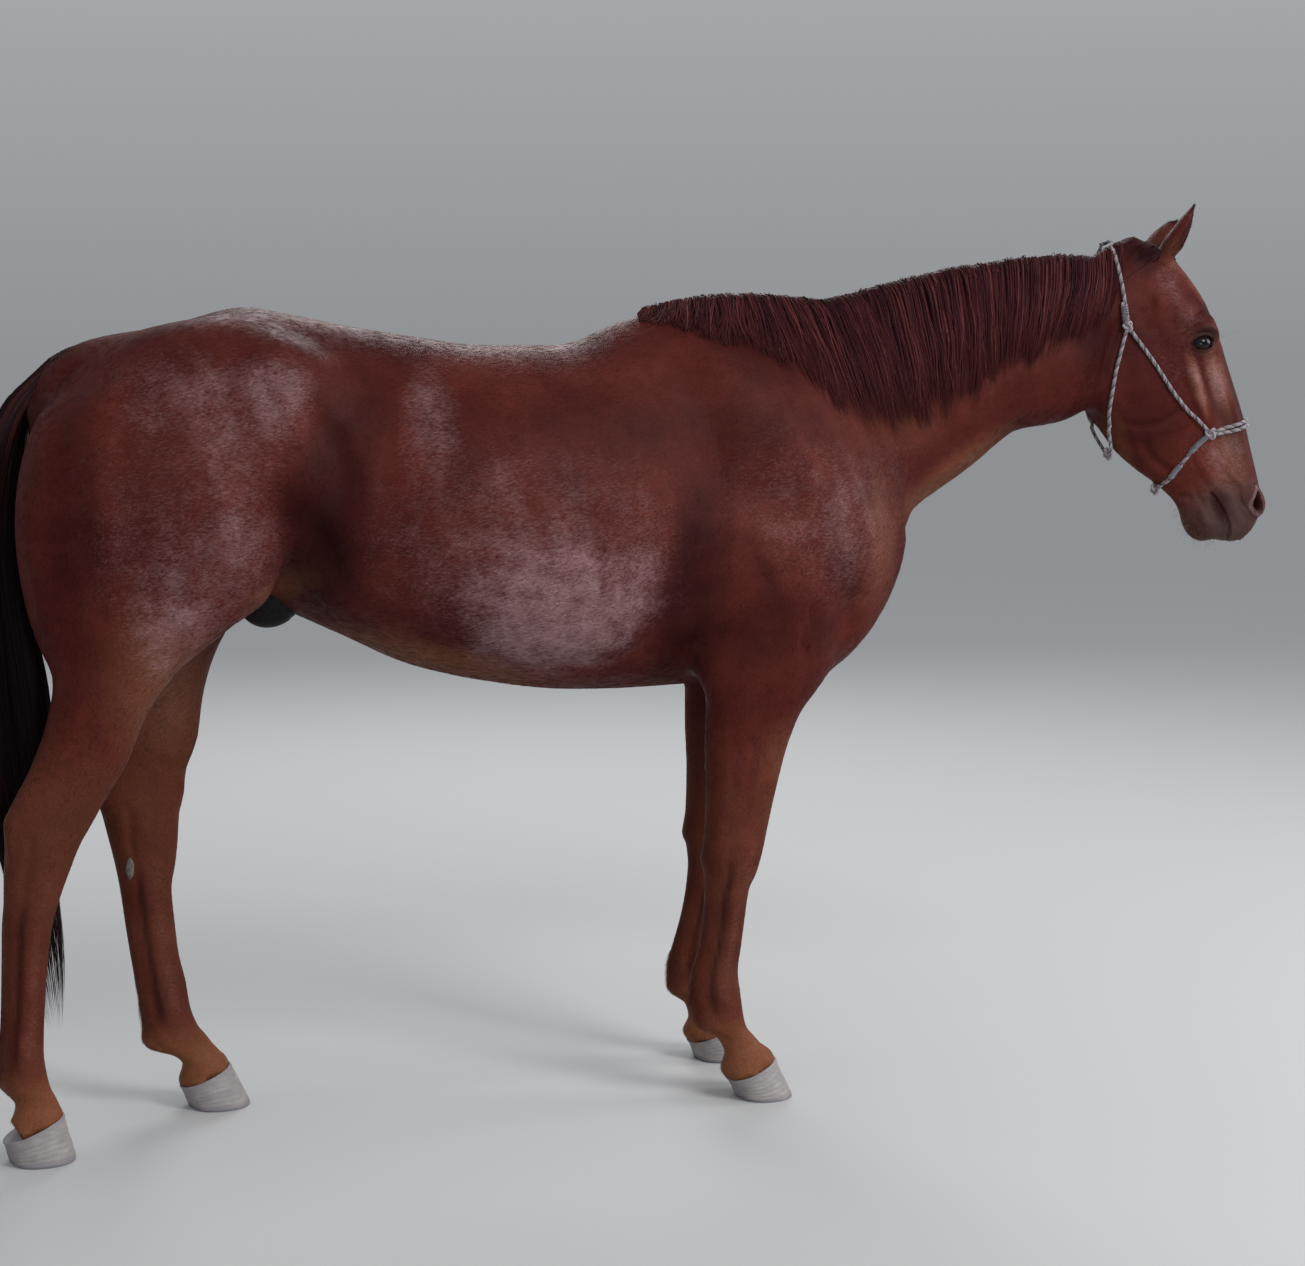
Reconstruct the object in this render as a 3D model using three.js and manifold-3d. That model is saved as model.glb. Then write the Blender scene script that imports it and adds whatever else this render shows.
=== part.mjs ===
// A standing horse wearing a rope halter, life size. Millimetres, +Z up, the horse faces +X.
// While it is built X = 0 lies under the middle of the barrel, Y points to the horse's left and
// the floor is Z = 0. The finished group is then moved to stand on the middle of its own box.
import * as THREE from 'three';
import Module from 'manifold-3d';
import { mergeVertices } from 'three/addons/utils/BufferGeometryUtils.js';

const wasm = await Module();
wasm.setup();

const RIGHT = -1; // the near side, towards -Y
const LEFT = 1;
const GAP = 0.3; // left between pieces that touch
const LAP = 70; // how far a piece is shaped past its cut before it is trimmed
const FAR = 3000; // larger than the horse
const POLL = new THREE.Vector3(1440, 0, 1630); // start of the head's own frame
const HEAD_TURN = THREE.MathUtils.degToRad(6); // towards the right side
const HEAD_SLOPE = THREE.MathUtils.degToRad(66); // below level
const EYE_PLACE = { along: 211, front: 22, side: 75 };
const EYE_RADIUS = 22;
const ROPE_RADIUS = 3.6;

// ---------------------------------------------------------------- curves and frames

// A curve through the knots that never overshoots them and stays level beyond its ends.
function smoothCurve(places, values) {
  const last = places.length - 1;
  const slopes = places.slice(1).map((place, i) => (values[i + 1] - values[i]) / (place - places[i]));
  const tangents = places.map((_, i) => {
    const before = slopes[Math.max(i - 1, 0)];
    const after = slopes[Math.min(i, last - 1)];
    return before * after <= 0 ? 0 : (2 * before * after) / (before + after);
  });
  return (at) => {
    if (at <= places[0]) return values[0];
    if (at >= places[last]) return values[last];
    const i = places.findIndex((place) => place > at) - 1;
    const step = places[i + 1] - places[i];
    const t = (at - places[i]) / step;
    const ease = t * t * (3 - 2 * t);
    const bow = step * t * (1 - t) * ((1 - t) * tangents[i] - t * tangents[i + 1]);
    return values[i] + ease * (values[i + 1] - values[i]) + bow;
  };
}

// One smooth curve for each column of a table whose first column is the place along the part.
function curvesOf(rows) {
  const ordered = [...rows].sort((a, b) => a[0] - b[0]);
  const places = ordered.map((row) => row[0]);
  return ordered[0].slice(1).map((_, column) => smoothCurve(places, ordered.map((row) => row[column + 1])));
}

// A frame given by its origin and by where its own X, Y and Z point.
function frameOf(origin, along, side, up) {
  return new THREE.Matrix4().makeBasis(along, side, up).setPosition(origin);
}

const alongX = new THREE.Vector3(1, 0, 0);
const alongY = new THREE.Vector3(0, 1, 0);
const upZ = new THREE.Vector3(0, 0, 1);
const upright = new THREE.Matrix4();
const headAlong = new THREE.Vector3(Math.cos(HEAD_SLOPE), 0, -Math.sin(HEAD_SLOPE));
headAlong.applyAxisAngle(upZ, -HEAD_TURN);
const headSide = new THREE.Vector3(Math.sin(HEAD_TURN), Math.cos(HEAD_TURN), 0);
const headFront = new THREE.Vector3().crossVectors(headAlong, headSide);
const headFrame = frameOf(POLL, headAlong, headSide, headFront);

// A point of the head, from the poll down the face, out to the left and out from the forehead.
function headPoint(along, front, side) {
  return new THREE.Vector3(along, side, front).applyMatrix4(headFrame);
}

// ---------------------------------------------------------------- flesh as a field

// A body with rounded sections along one axis. Each row holds its place, top, bottom, half width,
// height where it is widest, and how square it is above and below that height.
function loft(frame, rows, softness) {
  const [top, bottom, halfWidth, widest, squareAbove, squareBelow, offset] = curvesOf(rows);
  const inverse = frame.clone().invert();
  const ends = [Math.min(...rows.map((row) => row[0])), Math.max(...rows.map((row) => row[0]))];
  const local = new THREE.Vector3();
  return {
    softness,
    distance(point) {
      local.copy(point).applyMatrix4(inverse);
      const at = THREE.MathUtils.clamp(local.x, ends[0], ends[1]);
      const past = Math.abs(local.x - at);
      const middle = widest(at);
      const up = local.z - middle;
      const side = Math.abs(local.y - (offset ? offset(at) : 0));
      const reach = up > 0 ? top(at) - middle : middle - bottom(at);
      const square = up > 0 ? squareAbove(at) : squareBelow(at);
      const share = ((Math.abs(up) / reach) ** square + (side / halfWidth(at)) ** square) ** (1 / square);
      const length = Math.hypot(up, side);
      const out = length < 1 ? -Math.min(reach, halfWidth(at)) : length * (1 - 1 / Math.max(share, 1e-6));
      return past > 0 ? Math.hypot(Math.max(out, 0), past) : out;
    },
  };
}

// A muscle or bone boss: an ellipsoid, tipped forwards by `tip` and swung by `swing` degrees.
function boss(frame, centre, radii, softness, tip = 0, swing = 0) {
  const turn = new THREE.Matrix4().makeRotationFromEuler(
    new THREE.Euler(0, THREE.MathUtils.degToRad(tip), THREE.MathUtils.degToRad(swing), 'ZYX'));
  const inverse = frame.clone().multiply(turn.setPosition(...centre)).invert();
  const local = new THREE.Vector3();
  return {
    softness,
    distance(point) {
      local.copy(point).applyMatrix4(inverse);
      const [a, b, c] = [local.x / radii[0], local.y / radii[1], local.z / radii[2]];
      const share = Math.hypot(a, b, c);
      const steep = Math.hypot(a / radii[0], b / radii[1], c / radii[2]);
      return share < 1e-6 ? -Math.min(...radii) : (share * (share - 1)) / steep;
    },
  };
}

function blended(a, b, softness) {
  const near = Math.max(softness - Math.abs(a - b), 0) / softness;
  return Math.min(a, b) - near * near * softness * 0.25;
}

const bothSides = (make) => [make(RIGHT), make(LEFT)];

// Trunk, from the buttocks to the breast. Rows run along X and hold heights.
const trunkRows = [
  [-745, 1372, 1180, 50, 1270, 2, 2],
  [-700, 1420, 1060, 112, 1255, 2, 2],
  [-620, 1453, 960, 180, 1245, 2.1, 2],
  [-500, 1474, 925, 238, 1235, 2.2, 2],
  [-360, 1508, 985, 262, 1240, 2, 1.6],
  [-285, 1497, 946, 262, 1185, 2, 1.5],
  [-200, 1480, 906, 266, 1130, 1.95, 1.9],
  [-60, 1458, 842, 294, 1090, 2, 2.2],
  [80, 1442, 808, 307, 1082, 2, 2.2],
  [220, 1442, 788, 298, 1086, 1.9, 2.2],
  [350, 1487, 784, 264, 1095, 1.7, 2.1],
  [460, 1520, 786, 226, 1110, 1.55, 2],
  [570, 1536, 795, 196, 1125, 1.5, 2],
  [690, 1516, 815, 186, 1130, 1.6, 2],
  [800, 1420, 880, 160, 1120, 2, 2],
  [870, 1260, 965, 112, 1110, 2, 2],
  [910, 1170, 1050, 50, 1110, 2, 2],
];

// Neck, from inside the shoulders to the poll, in the same terms as the trunk.
const neckRows = [
  [620, 1500, 1010, 150, 1200, 1.8, 2],
  [760, 1524, 1012, 150, 1210, 1.7, 2],
  [850, 1541, 1040, 132, 1240, 1.7, 2],
  [940, 1562, 1112, 110, 1290, 1.7, 2],
  [1060, 1586, 1190, 90, 1345, 1.8, 2],
  [1180, 1598, 1276, 78, 1400, 1.9, 2],
  [1290, 1604, 1316, 73, 1440, 2, 2.2],
  [1380, 1618, 1350, 68, 1480, 2.1, 2.2],
  [1440, 1622, 1400, 56, 1510, 2.2, 2.2],
];

// Head, down the face from the poll. Tops are the face and bottoms the jaw, in the head's frame.
const headRows = [
  [-28, 8, -90, 40, -35, 2, 2],
  [20, 48, -140, 62, -30, 2.2, 2],
  [80, 72, -185, 74, -20, 2.6, 2],
  [150, 82, -212, 84, -15, 3, 2.2],
  [215, 83, -220, 84, -10, 3, 2.3],
  [285, 82, -212, 73, -12, 2.7, 2.3],
  [345, 81, -200, 63, -15, 2.5, 2.2],
  [400, 78, -175, 54, -18, 2.4, 2.1],
  [455, 70, -142, 47, -16, 2.4, 2.1],
  [505, 63, -122, 43, -14, 2.4, 2.1],
  [540, 57, -119, 45, -18, 2.3, 2.2],
  [572, 46, -108, 46, -26, 2.2, 2.2],
  [600, 30, -80, 41, -26, 2.1, 2.1],
  [617, 12, -56, 28, -24, 2, 2],
  [626, -6, -38, 13, -22, 2, 2],
];

// Legs, up from below the floor. Rows hold height, middle, half depth and half width.
const foreleg = {
  rows: [
    [-40, 610, 60, 61],
    [0, 593, 58, 60],
    [28, 583, 55, 57],
    [56, 566, 57, 51],
    [86, 563, 47, 40],
    [105, 548, 39, 32],
    [118, 538, 38, 32],
    [128, 526, 41, 33],
    [138, 514, 46, 35],
    [150, 506, 50, 36],
    [165, 502, 51, 36],
    [186, 498, 52, 37],
    [208, 495, 52, 36],
    [245, 495, 48, 31],
    [300, 507, 43, 28],
    [350, 514, 43, 29],
    [405, 520, 45, 36],
    [440, 527, 53, 45],
    [468, 528, 61, 47],
    [490, 533, 62, 46],
    [518, 538, 63, 45],
    [600, 549, 71, 51],
    [680, 559, 83, 60],
    [763, 577, 98, 72],
    [850, 590, 112, 80],
    [980, 640, 105, 78],
  ],
  top: new THREE.Vector3(600, 150, 900),
};
const hindleg = {
  rows: [
    [-40, -752, 61, 59],
    [0, -762, 60, 58],
    [28, -768, 58, 55],
    [52, -774, 56, 50],
    [84, -768, 44, 39],
    [104, -770, 38, 32],
    [116, -776, 39, 32],
    [125, -783, 41, 33],
    [138, -791, 45, 35],
    [158, -795, 45, 36],
    [195, -796, 42, 36],
    [245, -791, 39, 29],
    [356, -784, 41, 27],
    [422, -778, 45, 31],
    [470, -769, 50, 37],
    [510, -761, 57, 42],
    [561, -749, 66, 45],
    [604, -737, 79, 41],
    [640, -719, 82, 43],
    [703, -683, 85, 53],
    [787, -650, 88, 66],
    [850, -624, 104, 78],
    [926, -594, 154, 90],
    [1000, -556, 206, 98],
    [1080, -556, 210, 96],
  ],
  top: new THREE.Vector3(-560, 165, 1040),
};
// The left hind leg stands forward, on a pastern that slopes more.
const slopingRows = [
  [94, -764, 45, 36],
  [104, -765, 47, 33],
  [112, -772, 56, 32],
  [120, -779, 62, 33],
  [136, -786, 62, 35],
  [158, -791, 53, 36],
  [195, -794, 48, 35],
  [245, -792, 48, 29],
  [300, -790, 46, 28],
  [356, -784, 47, 28],
  [422, -774, 49, 32],
  [470, -762, 57, 37],
  [510, -753, 64, 42],
  [561, -743, 72, 45],
  [604, -732, 82, 42],
];

// How far each leg's middle stands from the row tables, and how far out it stands, by height.
const stances = {
  foreleg_right: { ...foreleg, side: RIGHT, shift: [[0, 0], [980, 0]], out: [[0, 138], [980, 128]] },
  foreleg_left: {
    ...foreleg,
    side: LEFT,
    shift: [[0, 10], [110, 24], [190, 44], [245, 56], [300, 54], [386, 58], [470, 53], [740, 46], [980, 0]],
    out: [[0, 148], [980, 130]],
  },
  hindleg_right: {
    ...hindleg,
    side: RIGHT,
    shift: [[0, 0], [1080, 0]],
    out: [[0, 138], [700, 140], [1080, 166]],
  },
  hindleg_left: {
    ...hindleg,
    rows: [...slopingRows, ...hindleg.rows.filter(([height]) => height < 90 || height > 630)]
      .sort((a, b) => a[0] - b[0]),
    side: LEFT,
    shift: [[0, 345], [75, 331], [125, 288], [180, 281], [300, 257], [450, 221], [577, 187], [678, 162],
      [820, 123], [950, 60], [1080, 0]],
    out: [[0, 112], [560, 118], [850, 138], [1080, 166]],
  },
};

// A leg as a loft that runs up Z, with X as its depth and Y as its width.
function legLoft({ rows, side, shift, out }) {
  const [shiftAt] = curvesOf(shift);
  const [outAt] = curvesOf(out);
  const frame = frameOf(new THREE.Vector3(), upZ, alongY, new THREE.Vector3(-1, 0, 0));
  const sections = rows.map(([height, middle, halfDepth, halfWidth]) => {
    const x = -(middle + shiftAt(height));
    return [height, x + halfDepth, x - halfDepth, halfWidth, x, 2.1, 2.1, side * outAt(height)];
  });
  return loft(frame, sections, 28);
}

const flesh = [
  loft(upright, trunkRows, 40),
  loft(upright, neckRows, 60),
  loft(headFrame, headRows, 26),
  // Rump, thigh and buttock.
  ...bothSides((side) => boss(upright, [-460, side * 122, 1325], [185, 118, 148], 60, -8)),
  ...bothSides((side) => boss(upright, [-555, side * 168, 1130], [205, 104, 245], 50)),
  ...bothSides((side) => boss(upright, [-700, side * 118, 1105], [78, 72, 232], 70)),
  ...bothSides((side) => boss(upright, [-326, side * 178, 1364], [84, 62, 66], 60)),
  ...bothSides((side) => boss(upright, [-405, side * 190, 1074], [78, 56, 98], 40)),
  // Shoulder blade, upper arm, point of shoulder, breast and elbow.
  ...bothSides((side) => boss(upright, [622, side * 126, 1208], [104, 80, 245], 70, -34)),
  ...bothSides((side) => boss(upright, [560, side * 165, 1015], [140, 70, 135], 50)),
  ...bothSides((side) => boss(upright, [755, side * 150, 1050], [74, 68, 90], 50)),
  ...bothSides((side) => boss(upright, [780, side * 84, 985], [92, 86, 198], 40, 28)),
  ...bothSides((side) => boss(upright, [625, side * 138, 880], [108, 76, 130], 50)),
  ...bothSides((side) => boss(upright, [505, side * 140, 845], [52, 44, 62], 40)),
  // Throat and the muscle behind the ears.
  boss(upright, [1250, -4, 1370], [95, 60, 72], 60, -20),
  // Cheek, brow and nostril.
  ...bothSides((side) => boss(headFrame, [245, side * 42, -122], [98, 36, 88], 30)),
  ...bothSides((side) => boss(headFrame, [196, side * 80, 40], [40, 19, 26], 26)),
  ...bothSides((side) => boss(headFrame, [560, side * 36, 22], [34, 19, 24], 20)),
  boss(headFrame, [563, 0, -92], [36, 30, 28], 24),
  ...Object.values(stances).map(legLoft),
];

function fleshField(point) {
  let value = Infinity;
  for (const part of flesh) {
    const out = part.distance(point);
    value = value === Infinity ? out : blended(value, out, part.softness);
  }
  return value;
}

// ---------------------------------------------------------------- solids

function solidOf(geometry) {
  const plain = geometry.clone();
  plain.deleteAttribute('normal');
  plain.deleteAttribute('uv');
  const merged = mergeVertices(plain, 1e-3);
  return new wasm.Manifold(new wasm.Mesh({
    numProp: 3,
    vertProperties: new Float32Array(merged.attributes.position.array),
    triVerts: new Uint32Array(merged.index.array),
  }));
}

function geometryOf(solid) {
  const mesh = solid.getMesh();
  const geometry = new THREE.BufferGeometry();
  geometry.setAttribute('position', new THREE.BufferAttribute(mesh.vertProperties, 3));
  geometry.setIndex(new THREE.BufferAttribute(mesh.triVerts, 1));
  geometry.computeVertexNormals();
  return geometry;
}

function indexedGeometry(points, triangles) {
  const geometry = new THREE.BufferGeometry();
  const places = points.flatMap((point) => point.toArray());
  geometry.setAttribute('position', new THREE.Float32BufferAttribute(places, 3));
  geometry.setIndex(triangles);
  return geometry;
}

// A region for a cut: a box by its frame and size, with its distance outside as a field.
function region(frame, size) {
  const inverse = frame.clone().invert();
  const half = new THREE.Vector3(...size).multiplyScalar(0.5);
  const local = new THREE.Vector3();
  return {
    distance(point) {
      local.copy(point).applyMatrix4(inverse);
      const x = Math.abs(local.x) - half.x;
      const y = Math.abs(local.y) - half.y;
      const z = Math.abs(local.z) - half.z;
      return Math.hypot(Math.max(x, 0), Math.max(y, 0), Math.max(z, 0)) + Math.min(Math.max(x, y, z), 0);
    },
    solid(grow) {
      const box = new THREE.BoxGeometry(...size.map((length) => length + grow));
      return solidOf(box.applyMatrix4(frame));
    },
  };
}

// The space on one side of a plane: it starts at `point` and runs towards `normal`.
function halfSpace(point, normal) {
  const turn = new THREE.Quaternion().setFromUnitVectors(new THREE.Vector3(0, 0, 1), normal);
  const centre = point.clone().addScaledVector(normal, FAR / 2);
  return region(new THREE.Matrix4().compose(centre, turn, new THREE.Vector3(1, 1, 1)), [FAR, FAR, FAR]);
}

// The space that several regions share.
function shared(...parts) {
  return {
    distance: (point) => Math.max(...parts.map((part) => part.distance(point))),
    solid: (grow) => parts.map((part) => part.solid(grow)).reduce((whole, part) => whole.intersect(part)),
  };
}

// A leg's room: one side of the midline, below a face that rises outwards, between two places on X.
function legRoom(side, { crotch, rise, back, front }) {
  const below = new THREE.Vector3(0, side * Math.sin(rise), -Math.cos(rise));
  const slab = frameOf(new THREE.Vector3((back + front) / 2, (side * FAR) / 2, 0), alongX, alongY, upZ);
  return shared(
    halfSpace(new THREE.Vector3(0, 0, crotch), below),
    region(slab, [front - back, FAR, 2 * FAR]));
}

// How far the surface of a field lies from an inner point in one direction.
function reachOf(field, origin, direction) {
  const step = 9;
  const point = new THREE.Vector3();
  let inside = 0;
  const at = (reach) => field(point.copy(origin).addScaledVector(direction, reach));
  while (inside < FAR && at(inside + step) < 0) inside += step;
  let outside = inside + step;
  for (let i = 0; i < 12; i += 1) {
    const middle = (inside + outside) / 2;
    if (at(middle) < 0) inside = middle;
    else outside = middle;
  }
  return (inside + outside) / 2;
}

// The surface of a field as rings round a spine, each end closed by a dome of `domeRings` rings.
function fieldSkin(field, spine, up, sides, domeRings) {
  const rings = [];
  const tilted = (i) => (i / (domeRings + 1)) * Math.PI / 2;
  const last = spine.length - 1;
  for (let i = 1; i <= domeRings; i += 1) rings.push([spine[0], Math.PI - tilted(i)]);
  spine.forEach((station) => rings.push([station, Math.PI / 2]));
  for (let i = domeRings; i >= 1; i -= 1) rings.push([spine[last], tilted(i)]);
  const pointAt = ({ centre, along }, tilt, turn) => {
    const side = new THREE.Vector3().crossVectors(along, up).normalize();
    const over = new THREE.Vector3().crossVectors(side, along);
    const direction = along.clone().multiplyScalar(Math.cos(tilt));
    direction.addScaledVector(over, Math.sin(tilt) * Math.cos(turn));
    direction.addScaledVector(side, Math.sin(tilt) * Math.sin(turn));
    return centre.clone().addScaledVector(direction, reachOf(field, centre, direction));
  };
  const points = [pointAt(spine[0], Math.PI, 0)];
  rings.forEach(([station, tilt]) => {
    for (let j = 0; j < sides; j += 1) points.push(pointAt(station, tilt, (j / sides) * Math.PI * 2));
  });
  points.push(pointAt(spine[last], 0, 0));
  const triangles = [];
  const vertex = (ring, j) => 1 + ring * sides + (j % sides);
  for (let j = 0; j < sides; j += 1) {
    triangles.push(0, vertex(0, j + 1), vertex(0, j));
    triangles.push(points.length - 1, vertex(rings.length - 1, j), vertex(rings.length - 1, j + 1));
    for (let ring = 0; ring + 1 < rings.length; ring += 1) {
      triangles.push(vertex(ring, j), vertex(ring, j + 1), vertex(ring + 1, j));
      triangles.push(vertex(ring, j + 1), vertex(ring + 1, j + 1), vertex(ring + 1, j));
    }
  }
  return outward(indexedGeometry(points, triangles));
}

// A closed mesh whose faces point out, whichever way round they were listed.
function outward(geometry) {
  const solid = solidOf(geometry);
  if (solid.volume() > 0) return solid;
  const index = Array.from(geometry.index.array);
  for (let i = 0; i < index.length; i += 3) [index[i], index[i + 1]] = [index[i + 1], index[i]];
  geometry.setIndex(index);
  return solidOf(geometry);
}

// Evenly spaced numbers from one end to the other, both included.
function spread(from, to, count) {
  return Array.from({ length: count }, (_, i) => from + ((to - from) * i) / (count - 1));
}

// ---------------------------------------------------------------- body nodes

const neckFace = new THREE.Vector3(0.8, 0, 0.6);
const neckRegion = halfSpace(new THREE.Vector3(770, 0, 1310), neckFace);
const headFace = new THREE.Vector3(0.957, 0, -0.29).normalize();
const headRegion = halfSpace(new THREE.Vector3(1338, 0, 1450), headFace);

// Where the legs part from the trunk: lowest point of the cut, its rise outwards, back and front.
const FORE_ROOT = { crotch: 770, rise: 0.74, back: 442, front: 780 };
const HIND_ROOT = { crotch: 862, rise: 0.86, back: -930, front: -300 };
const roots = {
  foreleg_right: legRoom(RIGHT, FORE_ROOT),
  foreleg_left: legRoom(LEFT, FORE_ROOT),
  hindleg_right: legRoom(RIGHT, HIND_ROOT),
  hindleg_left: legRoom(LEFT, HIND_ROOT),
};

// The flesh field, kept inside some regions and out of others, both with a lap for trimming.
function partField(kept, removed, grow = 0) {
  return (point) => Math.max(
    fleshField(point) - grow,
    ...kept.map((part) => part.distance(point) - LAP),
    ...removed.map((part) => -part.distance(point) - LAP));
}

// A node of flesh: shaped with a lap, then trimmed to its regions with half the gap on each side.
function fleshNode({ spine, up, sides, domeRings, kept, removed }, grow = 0) {
  let solid = fieldSkin(partField(kept, removed, grow), spine, up, sides, domeRings);
  kept.forEach((part) => { solid = solid.intersect(part.solid(-GAP)); });
  removed.forEach((part) => { solid = solid.subtract(part.solid(GAP)); });
  return solid;
}

const neckAlong = new THREE.Vector3(0.93, 0, 0.368).normalize();
const trunkMiddle = smoothCurve([-690, -400, 0, 500, 780], [1240, 1210, 1130, 1180, 1110]);
const headMiddle = smoothCurve([60, 220, 420, 590], [-50, -60, -35, -34]);

// The trunk's rings: evenly spaced, with one just outside each face of the legs' rooms.
const trunkStations = [HIND_ROOT.front + GAP, FORE_ROOT.back - GAP, FORE_ROOT.front + GAP];
trunkStations.push(...spread(-690, 800, 25));
trunkStations.sort((a, b) => a - b);

const bodyParts = {
  trunk: {
    spine: trunkStations.map((x) => ({
      centre: new THREE.Vector3(x, 0, trunkMiddle(x)),
      along: alongX,
    })),
    up: upZ,
    sides: 26,
    domeRings: 4,
    kept: [],
    removed: [neckRegion, ...Object.values(roots)],
  },
  neck: {
    spine: spread(0, 1, 10).map((t) => ({
      centre: new THREE.Vector3(790, 0, 1290).lerp(new THREE.Vector3(1340, 0, 1480), t),
      along: neckAlong,
    })),
    up: upZ,
    sides: 18,
    domeRings: 2,
    kept: [neckRegion],
    removed: [headRegion],
  },
  head: {
    spine: spread(75, 590, 20).map((s) => ({ centre: headPoint(s, headMiddle(s), 0), along: headAlong })),
    up: headFront,
    sides: 18,
    domeRings: 3,
    kept: [headRegion],
    removed: [],
  },
};
Object.entries(stances).forEach(([name, { rows, top, side, shift, out }]) => {
  const [shiftAt] = curvesOf(shift);
  const [outAt] = curvesOf(out);
  const stations = rows.filter(([height]) => height < top.z - 30).map(([height, middle]) => ({
    centre: new THREE.Vector3(middle + shiftAt(height), side * outAt(height), height),
    along: upZ,
  }));
  stations.push({ centre: new THREE.Vector3(top.x + shiftAt(top.z), side * top.y, top.z), along: upZ });
  const sides = name.startsWith('hind') ? 16 : 14;
  bodyParts[name] = { spine: stations, up: alongX, sides, domeRings: 3, kept: [roots[name]], removed: [] };
});

const solids = {};
Object.entries(bodyParts).forEach(([name, part]) => { solids[name] = fleshNode(part); });

// Hooves: each leg is cut by the floor and by a plane that drops from the coronet to the heel.
const floorRegion = halfSpace(new THREE.Vector3(0, 0, 0), new THREE.Vector3(0, 0, -1));
const CORONET = { height: 66, slope: 0.38 };
Object.entries(stances).forEach(([name, { rows, side, shift }]) => {
  const [shiftAt] = curvesOf(shift);
  const middle = rows.find(([height]) => height === 0)[1] + shiftAt(CORONET.height);
  const down = new THREE.Vector3(Math.sin(CORONET.slope), 0, -Math.cos(CORONET.slope));
  const hoofRegion = halfSpace(new THREE.Vector3(middle, side, CORONET.height), down);
  const standing = solids[name].subtract(floorRegion.solid(0));
  solids[name] = standing.subtract(hoofRegion.solid(GAP));
  solids[name.replace('leg', '_hoof')] = standing.intersect(hoofRegion.solid(-GAP));
});

// The same flesh a little larger, to hold coat, ears and eyes just clear of it.
const CLEARANCE = 0.6;
const clearOf = {};
['trunk', 'neck', 'head', 'hindleg_right', 'hindleg_left'].forEach((name) => {
  clearOf[name] = fleshNode(bodyParts[name], CLEARANCE);
});

// Eyes: balls set into the head, which is cut to hold them.
bothSides((side) => {
  const centre = headPoint(EYE_PLACE.along, EYE_PLACE.front, side * EYE_PLACE.side);
  const ball = (radius) => solidOf(new THREE.SphereGeometry(radius, 12, 7).translate(...centre));
  solids[side === RIGHT ? 'eye_right' : 'eye_left'] = ball(EYE_RADIUS);
  solids.head = solids.head.subtract(ball(EYE_RADIUS + GAP + 0.2));
});

// Ears: cupped leaves whose hollow faces forwards and a little out.
const ear = {
  root: { along: 35, front: 29, side: 46 },
  tips: { [RIGHT]: { along: -47, front: 126, side: 62 }, [LEFT]: { along: -22, front: 128, side: 60 } },
  halfWidths: smoothCurve([0, 0.2, 0.45, 0.75, 0.93, 1], [25, 30, 33, 24, 11, 3]),
  depths: smoothCurve([0, 0.25, 0.6, 1], [24, 27, 20, 3]),
  wall: smoothCurve([0, 0.6, 1], [7, 5, 1.6]),
  wrap: 2.1,
  openTurn: 0.5,
  rings: 8,
  arcSteps: 5,
};
bothSides((side) => {
  const root = headPoint(ear.root.along, ear.root.front, side * ear.root.side);
  const tip = headPoint(ear.tips[side].along, ear.tips[side].front, side * ear.tips[side].side);
  const up = tip.clone().sub(root).normalize();
  const across = new THREE.Vector3(0, side, 0).addScaledVector(up, -up.y * side).normalize();
  const ahead = new THREE.Vector3().crossVectors(across, up).multiplyScalar(side);
  const hollow = ahead.multiplyScalar(Math.cos(ear.openTurn));
  hollow.addScaledVector(across, Math.sin(ear.openTurn));
  const wide = new THREE.Vector3().crossVectors(up, hollow);
  const sections = spread(0, 1, ear.rings).map((t) => {
    const centre = root.clone().lerp(tip, t).addScaledVector(hollow, 4 * Math.sin(Math.PI * t));
    const arc = (inset) => spread(-ear.wrap, ear.wrap, ear.arcSteps + 1).map((turn) => centre.clone()
      .addScaledVector(wide, Math.sin(turn) * Math.max(ear.halfWidths(t) - inset, 0.8))
      .addScaledVector(hollow, -Math.cos(turn) * Math.max(ear.depths(t) - inset, 0.8)));
    return [...arc(0), ...arc(ear.wall(t)).reverse()];
  });
  const sides = sections[0].length;
  const points = sections.flat();
  const triangles = [];
  const vertex = (ring, j) => ring * sides + (j % sides);
  for (let ring = 0; ring + 1 < sections.length; ring += 1) {
    for (let j = 0; j < sides; j += 1) {
      triangles.push(vertex(ring, j), vertex(ring + 1, j), vertex(ring, j + 1));
      triangles.push(vertex(ring, j + 1), vertex(ring + 1, j), vertex(ring + 1, j + 1));
    }
  }
  const lastRing = sections.length - 1;
  for (let j = 0; j < sides / 2 - 1; j += 1) {
    const [a, b] = [j, j + 1];
    const [c, d] = [sides - 1 - j, sides - 2 - j];
    triangles.push(a, b, c, b, d, c);
    const top = [a, b, c, d].map((corner) => vertex(lastRing, corner));
    triangles.push(top[0], top[2], top[1], top[1], top[2], top[3]);
  }
  const leaf = outward(indexedGeometry(points, triangles));
  solids[side === RIGHT ? 'ear_right' : 'ear_left'] = leaf.subtract(clearOf.head).subtract(clearOf.neck);
});

// Sheath: a dark fold of skin hung under the belly in front of the thighs.
const sheathBall = (grow) => {
  const ball = new THREE.SphereGeometry(1, 12, 9);
  ball.scale(58 + grow, 38 + grow, 50 + grow).rotateY(-0.35).translate(-322, 0, 972);
  return solidOf(ball);
};
solids.sheath = sheathBall(0);
['trunk', 'hindleg_right', 'hindleg_left'].forEach((name) => {
  solids[name] = solids[name].subtract(sheathBall(GAP + 0.2));
});

const HAIR_LIFT = 5;

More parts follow.
